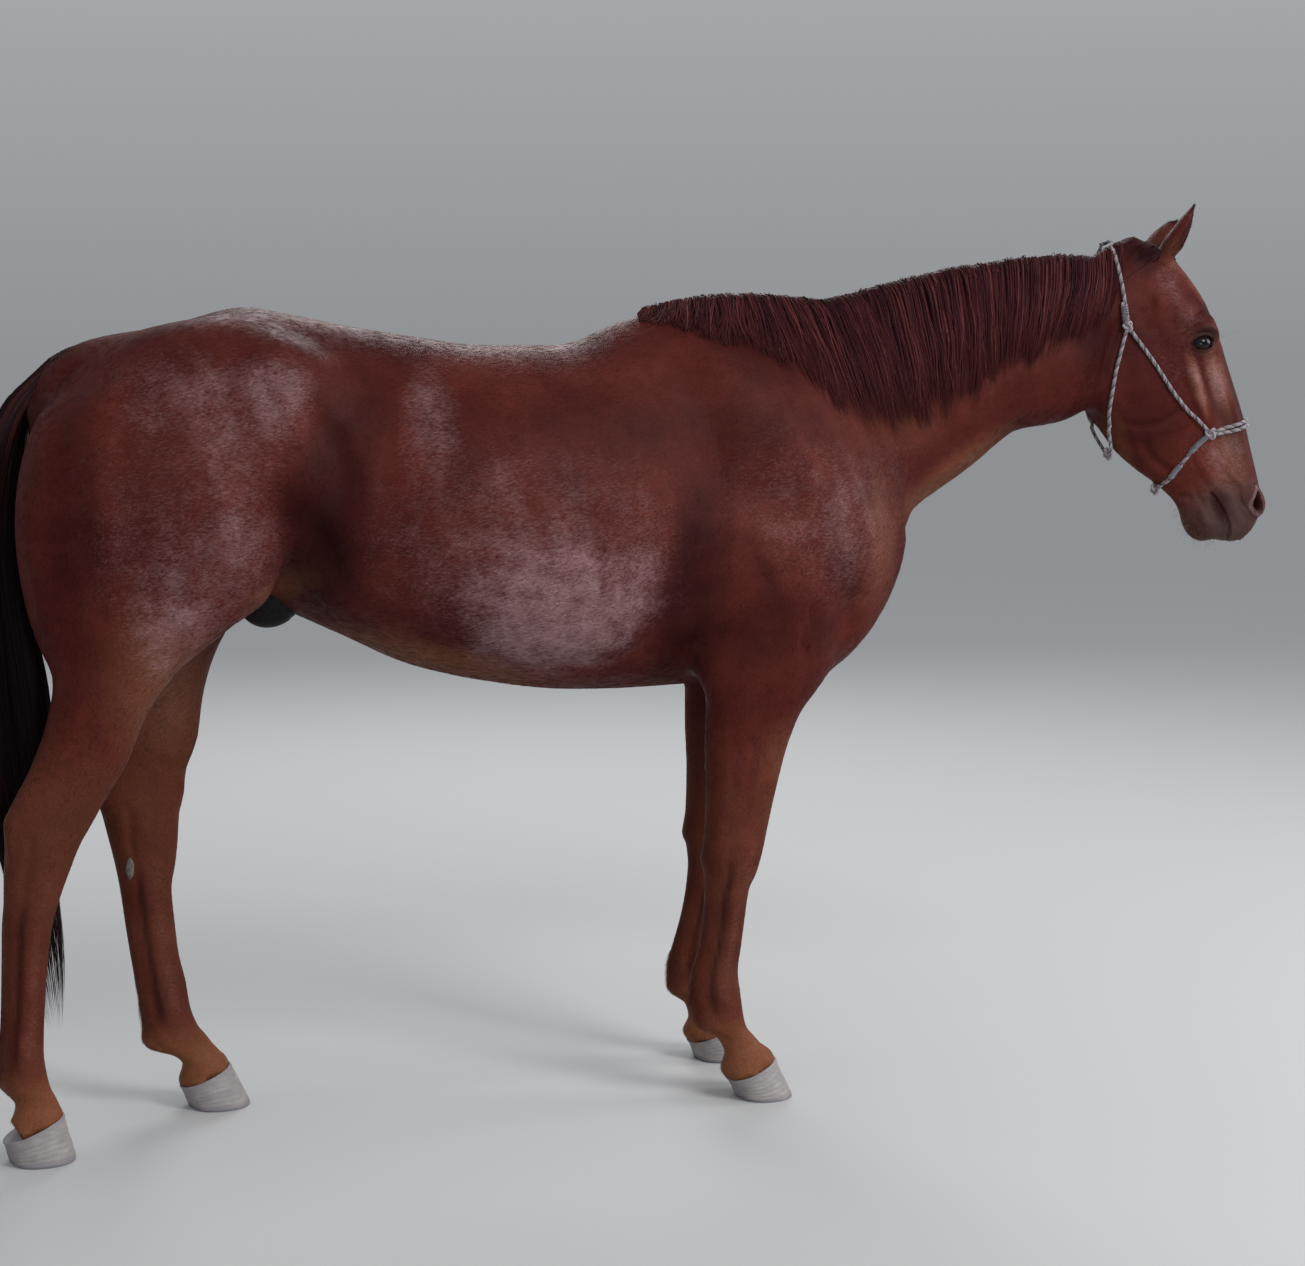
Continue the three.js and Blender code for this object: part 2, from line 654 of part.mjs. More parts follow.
// A layer of hair on the flesh: for each ray, from just clear of the skin out to its thickness.
function hairLayer(rays, thickness) {
  const rows = rays.length;
  const columns = rays[0].length;
  const inner = [];
  const outer = [];
  rays.forEach((row, i) => row.forEach(({ origin, direction }, j) => {
    const reach = reachOf(fleshField, origin, direction);
    const depth = thickness(i / (rows - 1), j / (columns - 1));
    inner.push(origin.clone().addScaledVector(direction, reach + HAIR_LIFT));
    outer.push(origin.clone().addScaledVector(direction, reach + HAIR_LIFT + depth));
  }));
  const count = rows * columns;
  const at = (i, j) => i * columns + j;
  const triangles = [];
  const quad = (a, b, c, d) => triangles.push(a, b, c, a, c, d);
  const last = columns - 1;
  for (let i = 0; i + 1 < rows; i += 1) {
    for (let j = 0; j + 1 < columns; j += 1) {
      quad(at(i, j), at(i + 1, j), at(i + 1, j + 1), at(i, j + 1));
      quad(count + at(i, j), count + at(i, j + 1), count + at(i + 1, j + 1), count + at(i + 1, j));
    }
    quad(at(i, 0), count + at(i, 0), count + at(i + 1, 0), at(i + 1, 0));
    quad(at(i, last), at(i + 1, last), count + at(i + 1, last), count + at(i, last));
  }
  for (let j = 0; j + 1 < columns; j += 1) {
    quad(at(0, j), at(0, j + 1), count + at(0, j + 1), count + at(0, j));
    quad(at(rows - 1, j), count + at(rows - 1, j), count + at(rows - 1, j + 1), at(rows - 1, j + 1));
  }
  return outward(indexedGeometry([...inner, ...outer], triangles));
}

// Mane: it hangs on the right side of the neck from the crest down to a ragged lower line.
const maneEdge = smoothCurve(
  [392, 470, 560, 657, 739, 838, 959, 1059, 1129, 1201, 1304, 1378],
  [1478, 1452, 1440, 1395, 1323, 1298, 1291, 1361, 1400, 1427, 1475, 1530]);
const maneTurns = [-0.12, 0, 0.1, 0.3, 0.65, 1.1, Math.PI / 2];
const maneRays = spread(398, 1372, 20).map((x) => maneTurns.map((turn) => ({
  origin: new THREE.Vector3(x, 0, maneEdge(x)),
  direction: new THREE.Vector3(0, -Math.sin(turn), Math.cos(turn)),
})));
const maneRoot = smoothCurve([0, 0.08, 0.25, 1], [3, 8, 13, 13]);
solids.mane = hairLayer(maneRays, (along, down) => maneRoot(along) * (1 - 0.45 * down));

// Forelock: a short tuft over the poll that falls between the ears.
const forelockRays = spread(-14, 74, 5).map((along) => spread(-0.2, 0.2, 4).map((turn) => {
  const origin = headPoint(Math.max(along, 30), -30, 0);
  const direction = headPoint(along, 60, 90 * Math.tan(turn)).sub(origin).normalize();
  return { origin, direction };
}));
solids.forelock = hairLayer(forelockRays, (along) => 12 - 6 * along);

// Tail: the dock curves out behind the rump and its hair hangs to below the hocks.
const tailRows = [ // height, middle, half depth, half width
  [1378, -706, 26, 30],
  [1342, -747, 36, 34],
  [1274, -781, 38, 38],
  [1180, -802, 42, 46],
  [1070, -814, 52, 54],
  [950, -808, 66, 60],
  [800, -796, 78, 62],
  [650, -781, 77, 58],
  [500, -764, 62, 48],
  [350, -744, 38, 32],
  [180, -722, 10, 10],
];
const tailMiddles = tailRows.map(([height, middle]) => new THREE.Vector3(middle, 0, height));
const tailCurve = new THREE.CatmullRomCurve3(tailMiddles);
const tailDeep = smoothCurve(tailRows.map((_, i) => i), tailRows.map((row) => row[2]));
const tailWide = smoothCurve(tailRows.map((_, i) => i), tailRows.map((row) => row[3]));
const TAIL_RINGS = 15;
const TAIL_SIDES = 10;
const tailPoints = [];
spread(0, 1, TAIL_RINGS).forEach((t) => {
  const centre = tailCurve.getPoint(t);
  const tangent = tailCurve.getTangent(t);
  const deep = new THREE.Vector3(-tangent.z, 0, tangent.x);
  const place = t * (tailRows.length - 1);
  for (let j = 0; j < TAIL_SIDES; j += 1) {
    const turn = (j / TAIL_SIDES) * Math.PI * 2;
    const point = centre.clone().addScaledVector(deep, Math.cos(turn) * tailDeep(place));
    tailPoints.push(point.add(new THREE.Vector3(0, Math.sin(turn) * tailWide(place), 0)));
  }
});
tailPoints.push(tailCurve.getPoint(0), tailCurve.getPoint(1));
const tailTriangles = [];
for (let j = 0; j < TAIL_SIDES; j += 1) {
  const next = (j + 1) % TAIL_SIDES;
  const end = (TAIL_RINGS - 1) * TAIL_SIDES;
  tailTriangles.push(tailPoints.length - 2, j, next, tailPoints.length - 1, end + next, end + j);
  for (let ring = 0; ring + 1 < TAIL_RINGS; ring += 1) {
    const [here, below] = [ring * TAIL_SIDES, (ring + 1) * TAIL_SIDES];
    tailTriangles.push(here + j, below + j, here + next, here + next, below + j, below + next);
  }
}
solids.tail = ['trunk', 'hindleg_right', 'hindleg_left'].reduce(
  (tail, name) => tail.subtract(clearOf[name]), outward(indexedGeometry(tailPoints, tailTriangles)));

// ---------------------------------------------------------------- rope halter

// A point moved along the field's slope until it lies at a set distance over the flesh.
function laidOver(point, clearance) {
  const moved = point.clone();
  const probe = new THREE.Vector3();
  for (let i = 0; i < 12; i += 1) {
    const value = fleshField(moved);
    const slope = new THREE.Vector3(
      fleshField(probe.copy(moved).setX(moved.x + 1)) - value,
      fleshField(probe.copy(moved).setY(moved.y + 1)) - value,
      fleshField(probe.copy(moved).setZ(moved.z + 1)) - value);
    const steep = Math.max(slope.lengthSq(), 0.05);
    moved.addScaledVector(slope, THREE.MathUtils.clamp((clearance - value) / steep, -30, 30));
  }
  return moved;
}

const ROPE_LIFT = ROPE_RADIUS + 2.6;

// A rope over the flesh through hand-placed points of the head: along, front and side.
function rope(places, steps, lift = ROPE_LIFT) {
  const marks = places.map(([along, front, side]) => headPoint(along, front, side));
  const rough = new THREE.CatmullRomCurve3(marks);
  const route = new THREE.CatmullRomCurve3(rough.getPoints(steps).map((point) => laidOver(point, lift)));
  return (grow) => {
    const circle = new THREE.Shape().absarc(0, 0, ROPE_RADIUS + grow, 0, Math.PI * 2, false);
    return solidOf(new THREE.ExtrudeGeometry(circle, { extrudePath: route, steps, curveSegments: 3 }));
  };
}

function knot([along, front, side], radii, lift) {
  const centre = laidOver(headPoint(along, front, side), lift);
  const frame = frameOf(centre, headAlong, headSide, headFront);
  return (grow) => {
    const lump = new THREE.SphereGeometry(1, 7, 5).scale(...radii.map((radius) => radius + grow));
    return solidOf(lump.applyMatrix4(frame));
  };
}

const knots = {
  halter_throat_knot: knot([352, -222, 0], [15, 10, 11], 12),
  halter_chin_knot: knot([458, -150, 0], [15, 11, 11], 12.8),
};
bothSides((side) => {
  const suffix = side === RIGHT ? 'right' : 'left';
  knots[`halter_cheek_knot_${suffix}`] = knot([116, -108, side * 86], [14, 9, 11], 11);
  knots[`halter_nose_knot_${suffix}`] = knot([390, -20, side * 60], [11, 9, 13], 11);
});

// A route that crosses the midline: its left half is the mirror of its right half.
const mirrored = (half) => {
  const right = half.map(([along, front, out]) => [along, front, -out]);
  return [...right, ...half.filter(([, , out]) => out > 0).reverse()];
};
const crownRise = 13; // the crown rope lies over the mane
const ropes = {
  halter_crown: rope(
    mirrored([[116, -108, 86], [52, -88, 78], [0, -72, 62], [-34, -62, 34], [-46, -60, 0]]),
    12,
    ROPE_LIFT + crownRise),
  halter_noseband: rope(mirrored([[388, -18, 60], [396, 30, 52], [403, 74, 26], [404, 80, 0]]), 9),
  halter_noseband_lower: rope(mirrored([[392, -18, 60], [410, 30, 50], [416, 73, 25], [417, 78, 0]]), 9),
};
bothSides((side) => {
  const suffix = side === RIGHT ? 'right' : 'left';
  const onSide = (places) => places.map(([along, front, out]) => [along, front, side * out]);
  ropes[`halter_throat_${suffix}`] = rope(onSide(
    [[116, -108, 86], [203, -172, 72], [282, -214, 52], [340, -216, 26], [352, -222, 0]]), 6, ROPE_LIFT + 2);
  ropes[`halter_chin_${suffix}`] = rope(onSide(
    [[390, -20, 60], [404, -62, 58], [424, -96, 50], [446, -136, 34], [458, -150, 0]]), 6);
  ropes[`halter_cheek_${suffix}`] = rope(onSide(
    [[116, -108, 86], [200, -88, 86], [287, -66, 76], [350, -38, 66], [390, -20, 60]]), 6);
});

// Knots are whole; each rope is cut to stop just short of every knot, every earlier rope and the skin.
const laid = [];
Object.entries(ropes).forEach(([name, tube]) => {
  const others = [...Object.values(knots), ...laid].map((other) => other(GAP + 0.2));
  solids[name] = [...others, clearOf.head].reduce((piece, other) => piece.subtract(other), tube(0));
  laid.push(tube);
});
Object.entries(knots).forEach(([name, lump]) => { solids[name] = lump(0).subtract(clearOf.head); });

// Hair and rope part for one another, and hair keeps clear of the flesh everywhere.
const crownRoom = ropes.halter_crown(GAP);
solids.mane = [crownRoom, clearOf.trunk, clearOf.neck].reduce(
  (hair, other) => hair.subtract(other), solids.mane);
solids.forelock = [crownRoom, clearOf.head, solids.ear_right, solids.ear_left].reduce(
  (hair, other) => hair.subtract(other), solids.forelock);

// ---------------------------------------------------------------- the horse

const chestnut = { color: 0x6e2f22, roughness: 0.5, metalness: 0 };
const darkHair = { color: 0x35161a, roughness: 0.55, metalness: 0 };
const finishes = {
  tail: { color: 0x1d1214, roughness: 0.55, metalness: 0 },
  mane: darkHair,
  forelock: darkHair,
  sheath: { color: 0x16100f, roughness: 0.6, metalness: 0 },
  eye_right: { color: 0x0c0808, roughness: 0.08, metalness: 0 },
  eye_left: { color: 0x0c0808, roughness: 0.08, metalness: 0 },
};
const finishOf = (name) => {
  if (name.includes('hoof')) return { color: 0xa9a294, roughness: 0.6, metalness: 0 };
  if (name.startsWith('halter')) return { color: 0x9b9689, roughness: 0.85, metalness: 0 };
  return finishes[name] ?? chestnut;
};

// The largest piece of a solid: trimming can leave slivers, which are dropped.
function mainPiece(solid) {
  return solid.decompose().reduce((a, b) => (b.volume() > a.volume() ? b : a));
}

const horse = new THREE.Group();
Object.entries(solids).forEach(([name, solid]) => {
  const mesh = new THREE.Mesh(geometryOf(mainPiece(solid)), new THREE.MeshStandardMaterial(finishOf(name)));
  mesh.name = name;
  horse.add(mesh);
});
const box = new THREE.Box3().setFromObject(horse);
horse.position.set(-(box.min.x + box.max.x) / 2, -(box.min.y + box.max.y) / 2, -box.min.z);
horse.updateMatrixWorld(true);

export default horse;
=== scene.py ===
import math

import bmesh
import bpy
import numpy as np
import openvdb
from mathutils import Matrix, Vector
from mathutils.bvhtree import BVHTree


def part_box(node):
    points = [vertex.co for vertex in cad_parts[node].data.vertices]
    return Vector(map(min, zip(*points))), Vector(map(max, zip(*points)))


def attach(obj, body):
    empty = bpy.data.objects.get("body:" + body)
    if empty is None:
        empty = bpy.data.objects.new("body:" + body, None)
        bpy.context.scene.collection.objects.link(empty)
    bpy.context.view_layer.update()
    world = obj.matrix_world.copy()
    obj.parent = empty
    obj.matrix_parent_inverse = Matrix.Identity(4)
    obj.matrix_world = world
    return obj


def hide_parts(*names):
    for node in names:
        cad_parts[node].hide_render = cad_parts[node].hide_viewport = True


# A standing horse in a knotted rope halter, life size, in metres: +X the way it faces, +Y its left.
# Flesh tables are in millimetres, measured from a point on the floor below the barrel's middle;
# `placed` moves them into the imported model's frame, which the right fore hoof's box fixes.
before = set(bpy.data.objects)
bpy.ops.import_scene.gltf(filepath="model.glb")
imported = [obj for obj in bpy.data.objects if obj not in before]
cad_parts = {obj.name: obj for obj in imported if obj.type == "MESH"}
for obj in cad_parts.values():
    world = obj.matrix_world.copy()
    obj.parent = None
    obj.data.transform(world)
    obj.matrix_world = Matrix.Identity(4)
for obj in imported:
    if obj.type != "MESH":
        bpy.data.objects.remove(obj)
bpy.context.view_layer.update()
TOE_X = 651.0
SHIFT = np.array([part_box("fore_hoof_right")[1][0] * 1000 - TOE_X, 0.0, 0.0])
RIGHT, LEFT = -1, 1


def placed(points):
    return (np.asarray(points, float) + SHIFT) / 1000


# ---------------------------------------------------------------------------------------- skin
# The horse's hide: one closed sheet over trunk, neck, head, ears and legs, a coat's depth inside
# the solids. Made another way, as the surface of a soft body of flesh: rounded lofts for the
# limbs, trunk, neck and head, joined by rounded bosses for the muscles.


def smooth_curve(places, values):
    """A curve through the knots that never overshoots them and stays level beyond its ends."""
    places, values = np.asarray(places, float), np.asarray(values, float)
    slopes = np.diff(values) / np.diff(places)
    before, after = np.r_[slopes[0], slopes], np.r_[slopes, slopes[-1]]
    total = np.where(np.abs(before + after) < 1e-12, 1, before + after)
    tangents = np.where(before * after <= 0, 0, 2 * before * after / total)

    def at(place):
        place = np.clip(place, places[0], places[-1])
        i = np.clip(np.searchsorted(places, place, side="right") - 1, 0, len(places) - 2)
        step = places[i + 1] - places[i]
        t = (place - places[i]) / step
        bow = step * t * (1 - t) * ((1 - t) * tangents[i] - t * tangents[i + 1])
        return values[i] + t * t * (3 - 2 * t) * (values[i + 1] - values[i]) + bow

    return at


def step_up(value, start, end):
    """Rises smoothly from 0 at `start` to 1 at `end`."""
    t = np.clip((value - start) / (end - start), 0, 1)
    return t * t * (3 - 2 * t)


def curves_of(rows):
    """One curve for each column of a table whose first column is the place along the part."""
    rows = np.array(sorted(rows), float)
    return [smooth_curve(rows[:, 0], column) for column in rows[:, 1:].T]


def unit(vectors, least=1e-9):
    """A vector, or each row of an array of them, at length 1."""
    vectors = np.asarray(vectors, float)
    return vectors / np.maximum(np.linalg.norm(vectors, axis=-1, keepdims=True), least)


# A frame is an origin and three directions, as rows: along, side and front or up.
HEAD_TURN, HEAD_SLOPE = math.radians(6), math.radians(66)
POLL = np.array([1440.0, 0.0, 1630.0])
HEAD_ALONG = np.array([
    math.cos(HEAD_SLOPE) * math.cos(HEAD_TURN),
    -math.cos(HEAD_SLOPE) * math.sin(HEAD_TURN),
    -math.sin(HEAD_SLOPE)])
HEAD_SIDE = np.array([math.sin(HEAD_TURN), math.cos(HEAD_TURN), 0.0])
HEAD_FRONT = np.cross(HEAD_ALONG, HEAD_SIDE)
HEAD = (POLL, np.array([HEAD_ALONG, HEAD_SIDE, HEAD_FRONT]))
UPRIGHT = (np.zeros(3), np.eye(3))
LEG = (np.zeros(3), np.array([[0, 0, 1], [0, 1, 0], [-1, 0, 0]], float))


def head_point(along, front, side):
    return POLL + along * HEAD_ALONG + front * HEAD_FRONT + side * HEAD_SIDE


class Loft:
    """A body with rounded sections along the first axis of its frame. Each row holds its place,
    top, bottom, half width, height where widest, squareness above and below, and side offset."""

    def __init__(self, axes, rows, softness):
        self.origin, self.turn = axes
        self.softness = softness
        rows = [tuple(row) + (0,) * (8 - len(row)) for row in rows]
        self.curves = curves_of(rows)
        table = np.array(rows, float)
        self.ends = table[:, 0].min(), table[:, 0].max()
        sides = table[:, 7]
        corners = [(x, y, z)
                   for x in self.ends
                   for y in ((sides - table[:, 3]).min(), (sides + table[:, 3]).max())
                   for z in (table[:, 2].min(), table[:, 1].max())]
        corners = np.array(corners) @ self.turn + self.origin
        self.low, self.high = corners.min(0), corners.max(0)

    def distance(self, points):
        x, y, z = ((points - self.origin) @ self.turn.T).T
        top, bottom, half_width, widest, above, below, offset = self.curves
        at = np.clip(x, *self.ends)
        past = np.abs(x - at)
        middle = widest(at)
        up = z - middle
        side = np.abs(y - offset(at))
        wide = half_width(at)
        reach = np.where(up > 0, top(at) - middle, middle - bottom(at))
        square = np.where(up > 0, above(at), below(at))
        share = ((np.abs(up) / reach) ** square + (side / wide) ** square) ** (1 / square)
        length = np.hypot(up, side)
        out = length * (1 - 1 / np.maximum(share, 1e-6))
        out = np.where(length < 1, -np.minimum(reach, wide), out)
        return np.where(past > 0, np.hypot(np.maximum(out, 0), past), out)


class Boss:
    """A muscle or bone that swells the flesh: an ellipsoid tipped about the side axis."""

    def __init__(self, axes, centre, radii, softness, tip=0):
        origin, turn = axes
        c, s = math.cos(math.radians(tip)), math.sin(math.radians(tip))
        self.turn = np.array([[c, 0, -s], [0, 1, 0], [s, 0, c]]) @ turn
        self.origin = origin + np.asarray(centre, float) @ turn
        self.radii = np.asarray(radii, float)
        self.softness = softness
        self.low, self.high = self.origin - max(radii), self.origin + max(radii)

    def distance(self, points):
        local = (points - self.origin) @ self.turn.T / self.radii
        share = np.linalg.norm(local, axis=1)
        steep = np.linalg.norm(local / self.radii, axis=1)
        return share * (share - 1) / np.maximum(steep, 1e-9)


def both_sides(axes, rows):
    return [Boss(axes, (x, side * y, z), *rest) for (x, y, z), *rest in rows for side in (RIGHT, LEFT)]


trunk_rows = [
    (-745, 1372, 1180, 50, 1270, 2, 2),
    (-700, 1420, 1060, 112, 1255, 2, 2),
    (-620, 1453, 960, 180, 1245, 2.1, 2),
    (-500, 1474, 925, 238, 1235, 2.2, 2),
    (-360, 1508, 985, 262, 1240, 2, 1.6),
    (-285, 1497, 946, 262, 1185, 2, 1.5),
    (-200, 1480, 906, 266, 1130, 1.95, 1.9),
    (-60, 1458, 842, 294, 1090, 2, 2.2),
    (80, 1442, 808, 307, 1082, 2, 2.2),
    (220, 1442, 788, 298, 1086, 1.9, 2.2),
    (350, 1487, 784, 264, 1095, 1.7, 2.1),
    (460, 1520, 786, 226, 1110, 1.55, 2),
    (570, 1536, 795, 196, 1125, 1.5, 2),
    (690, 1516, 815, 186, 1130, 1.6, 2),
    (800, 1420, 880, 160, 1120, 2, 2),
    (870, 1260, 965, 112, 1110, 2, 2),
    (910, 1170, 1050, 50, 1110, 2, 2),
]
neck_rows = [
    (620, 1500, 1010, 150, 1200, 1.8, 2),
    (760, 1524, 1012, 150, 1210, 1.7, 2),
    (850, 1541, 1040, 132, 1240, 1.7, 2),
    (940, 1562, 1112, 110, 1290, 1.7, 2),
    (1060, 1586, 1190, 90, 1345, 1.8, 2),
    (1180, 1598, 1276, 78, 1400, 1.9, 2),
    (1290, 1604, 1316, 73, 1440, 2, 2.2),
    (1380, 1618, 1350, 68, 1480, 2.1, 2.2),
    (1440, 1622, 1400, 56, 1510, 2.2, 2.2),
]
head_rows = [
    (-28, 8, -90, 40, -35, 2, 2),
    (20, 48, -140, 62, -30, 2.2, 2),
    (80, 72, -185, 74, -20, 2.6, 2),
    (150, 82, -212, 84, -15, 3, 2.2),
    (215, 83, -220, 84, -10, 3, 2.3),
    (285, 82, -212, 73, -12, 2.7, 2.3),
    (345, 81, -200, 63, -15, 2.5, 2.2),
    (400, 78, -175, 54, -18, 2.4, 2.1),
    (455, 70, -142, 47, -16, 2.4, 2.1),
    (505, 63, -122, 43, -14, 2.4, 2.1),
    (540, 57, -119, 45, -18, 2.3, 2.2),
    (572, 46, -108, 46, -26, 2.2, 2.2),
    (600, 30, -80, 41, -26, 2.1, 2.1),
    (617, 12, -56, 28, -24, 2, 2),
    (626, -6, -38, 13, -22, 2, 2),
]
# Leg rows run up from below the floor: height, middle, half depth, half width.
foreleg_rows = [
    (-40, 610, 60, 61), (0, 593, 58, 60), (28, 583, 55, 57), (56, 566, 57, 51), (86, 563, 47, 40),
    (105, 548, 39, 32), (118, 538, 38, 32), (128, 526, 41, 33), (138, 514, 46, 35),
    (150, 506, 50, 36), (165, 502, 51, 36), (186, 498, 52, 37), (208, 495, 52, 36),
    (245, 495, 48, 31), (300, 507, 43, 28), (350, 514, 43, 29), (405, 520, 45, 36),
    (440, 527, 53, 45), (468, 528, 61, 47), (490, 533, 62, 46), (518, 538, 63, 45),
    (600, 549, 71, 51), (680, 559, 83, 60), (763, 577, 98, 72), (850, 590, 112, 80),
    (980, 640, 105, 78),
]
hindleg_rows = [
    (-40, -752, 61, 59), (0, -762, 60, 58), (28, -768, 58, 55), (52, -774, 56, 50),
    (84, -768, 44, 39), (104, -770, 38, 32), (116, -776, 39, 32), (125, -783, 41, 33),
    (138, -791, 45, 35), (158, -795, 45, 36), (195, -796, 42, 36), (245, -791, 39, 29),
    (356, -784, 41, 27), (422, -778, 45, 31), (470, -769, 50, 37), (510, -761, 57, 42),
    (561, -749, 66, 45), (604, -737, 79, 41), (640, -719, 82, 43), (703, -683, 85, 53),
    (787, -650, 88, 66), (850, -624, 104, 78), (926, -594, 154, 90), (1000, -556, 206, 98),
    (1080, -556, 210, 96),
]
# The left hind leg stands forward, on a pastern that slopes more.
sloping_rows = [
    (94, -764, 45, 36), (104, -765, 47, 33), (112, -772, 56, 32), (120, -779, 62, 33),
    (136, -786, 62, 35), (158, -791, 53, 36), (195, -794, 48, 35), (245, -792, 48, 29),
    (300, -790, 46, 28), (356, -784, 47, 28), (422, -774, 49, 32), (470, -762, 57, 37),
    (510, -753, 64, 42), (561, -743, 72, 45), (604, -732, 82, 42),
]


class Stance:
    """How one leg stands: its side, its rows, how far its middle is moved and how far out."""

    def __init__(self, side, rows, shift, out):
        self.side = side
        self.rows = sorted(rows)
        self.middle, self.half_depth, self.half_width = curves_of(rows)
        self.shift, = curves_of(shift)
        self.out, = curves_of(out)

    def centre(self, height):
        x = self.middle(height) + self.shift(height)
        return np.stack([x, self.side * self.out(height), height + 0 * x], -1)

    def loft(self):
        rows = []
        for height, middle, half_depth, half_width in self.rows:
            x = -(middle + float(self.shift(height)))
            y = self.side * float(self.out(height))
            rows.append((height, x + half_depth, x - half_depth, half_width, x, 2.1, 2.1, y))
        return Loft(LEG, rows, 28)


stances = {
    "foreleg_right": Stance(RIGHT, foreleg_rows, [(0, 0), (980, 0)], [(0, 138), (980, 128)]),
    "foreleg_left": Stance(
        LEFT, foreleg_rows,
        [(0, 10), (110, 24), (190, 44), (245, 56), (300, 54), (386, 58), (470, 53), (740, 46), (980, 0)],
        [(0, 148), (980, 130)]),
    "hindleg_right": Stance(
        RIGHT, hindleg_rows, [(0, 0), (1080, 0)], [(0, 138), (700, 140), (1080, 166)]),
    "hindleg_left": Stance(
        LEFT, sloping_rows + [row for row in hindleg_rows if not 90 < row[0] < 630],
        [(0, 345), (75, 331), (125, 288), (180, 281), (300, 257), (450, 221), (577, 187),
         (678, 162), (820, 123), (950, 60), (1080, 0)],
        [(0, 112), (560, 118), (850, 138), (1080, 166)]),
}


class Ear:
    """The frame of one ear: up from root to tip, across its opening and out of its hollow."""
    half_width = staticmethod(smooth_curve((0, 0.2, 0.45, 0.75, 0.93, 1), (25, 30, 33, 24, 11, 3)))
    depth = staticmethod(smooth_curve((0, 0.25, 0.6, 1), (24, 27, 20, 3)))
    wall = staticmethod(smooth_curve((0, 0.6, 1), (7, 5, 1.6)))
    WRAP = 2.1
    OPEN_TURN = 0.5

    def __init__(self, side, tip):
        self.root = head_point(35, 29, side * 46)
        tip = head_point(tip[0], tip[1], side * tip[2])
        self.length = np.linalg.norm(tip - self.root)
        self.up = unit(tip - self.root)
        across = unit(np.array([0, side, 0]) - self.up * self.up[1] * side)
        ahead = np.cross(across, self.up) * side
        self.hollow = ahead * math.cos(self.OPEN_TURN) + across * math.sin(self.OPEN_TURN)
        self.turn = np.array([self.up, np.cross(self.up, self.hollow), self.hollow])

    def local(self, points):
        return (points - self.root) @ self.turn.T

    def bow(self, t):
        return 4 * np.sin(math.pi * np.clip(t, 0, 1))

    def loft(self):
        rows = [(-14, 6, -20, 20, -4, 2, 2)]
        for t in np.linspace(0, 1, 11):
            deep, bow = float(self.depth(t)), float(self.bow(t))
            rows.append((t * self.length, bow + 0.5 * deep, bow - deep, float(self.half_width(t)), bow, 2, 2))
        return Loft((self.root, self.turn), rows, 16)


ears = [Ear(RIGHT, (-47, 126, 62)), Ear(LEFT, (-22, 128, 60))]

# Swellings on both sides: centre, radii, softness and, where tipped, the angle in degrees.
body_bosses = [
    ((-460, 122, 1325), (185, 118, 148), 60, -8),  # rump
    ((-555, 168, 1130), (205, 104, 245), 50),  # thigh
    ((-700, 118, 1105), (78, 72, 232), 70),  # buttock
    ((-326, 178, 1364), (84, 62, 66), 60),  # point of hip
    ((-405, 190, 1074), (78, 56, 98), 40),  # stifle
    ((622, 126, 1208), (104, 80, 245), 70, -34),  # shoulder blade
    ((560, 165, 1015), (140, 70, 135), 50),  # upper arm
    ((755, 150, 1050), (74, 68, 90), 50),  # point of shoulder
    ((780, 84, 985), (92, 86, 198), 40, 28),  # breast
    ((625, 138, 880), (108, 76, 130), 50),  # forearm's root
    ((505, 140, 845), (52, 44, 62), 40),  # elbow
]
head_bosses = [
    ((245, 42, -122), (98, 36, 88), 30),  # cheek
    ((196, 80, 40), (40, 19, 26), 26),  # brow
    ((560, 36, 22), (34, 19, 24), 20),  # nostril
]
flesh = [
    Loft(UPRIGHT, trunk_rows, 40),
    Loft(UPRIGHT, neck_rows, 60),
    Loft(HEAD, head_rows, 26),
    *both_sides(UPRIGHT, body_bosses),
    Boss(UPRIGHT, (1250, -4, 1370), (95, 60, 72), 60, -20),  # throat
    *both_sides(HEAD, head_bosses),
    Boss(HEAD, (563, 0, -92), (36, 30, 28), 24),  # chin
    *[stance.loft() for stance in stances.values()],
    *[ear.loft() for ear in ears],
]

CORONET_HEIGHT, CORONET_SLOPE = 66, 0.38
CORONET_DOWN = np.array([math.sin(CORONET_SLOPE), 0.0, -math.cos(CORONET_SLOPE)])
COLLAR = 5  # how far the skin runs down into the top of the hoof
FOOT_ROOM = (160, 90, 130)  # half sizes of the space round a foot
FAR = 200.0  # the field's value well outside the flesh


def coronet_point(stance):
    x = float(stance.middle(0)) + float(stance.shift(CORONET_HEIGHT))
    return np.array([x, float(stance.side * stance.out(CORONET_HEIGHT)), CORONET_HEIGHT])


def blended(a, b, softness):
    near = np.maximum(softness - np.abs(a - b), 0) / softness
    return np.minimum(a, b) - near * near * softness * 0.25


def coat_depth(points):
    """How far the skin lies inside the solids: least on face and feet."""
    x, _, z = points.T
    feet = np.clip((z - 350) / 500, 0, 1)
    face = np.clip((1330 - x) / 200, 0, 1)
    return 1.4 + 1.8 * np.minimum(feet, face)


def flesh_field(points):
    """How far points lie outside the flesh, in millimetres; exact only close to its surface."""
    value = np.full(len(points), FAR)
    for part in flesh:
        room = part.softness + 45
        near = np.all((points > part.low - room) & (points < part.high + room), axis=1)
        if near.any():
            value[near] = blended(value[near], part.distance(points[near]), part.softness)
    value += coat_depth(points)
    for stance in stances.values():
        foot = coronet_point(stance)
        near = (np.abs(points - foot) < FOOT_ROOM).all(1)
        below = (points[near] - foot) @ CORONET_DOWN - COLLAR
        value[near] = -blended(-value[near], -below, 5.0)
    return value


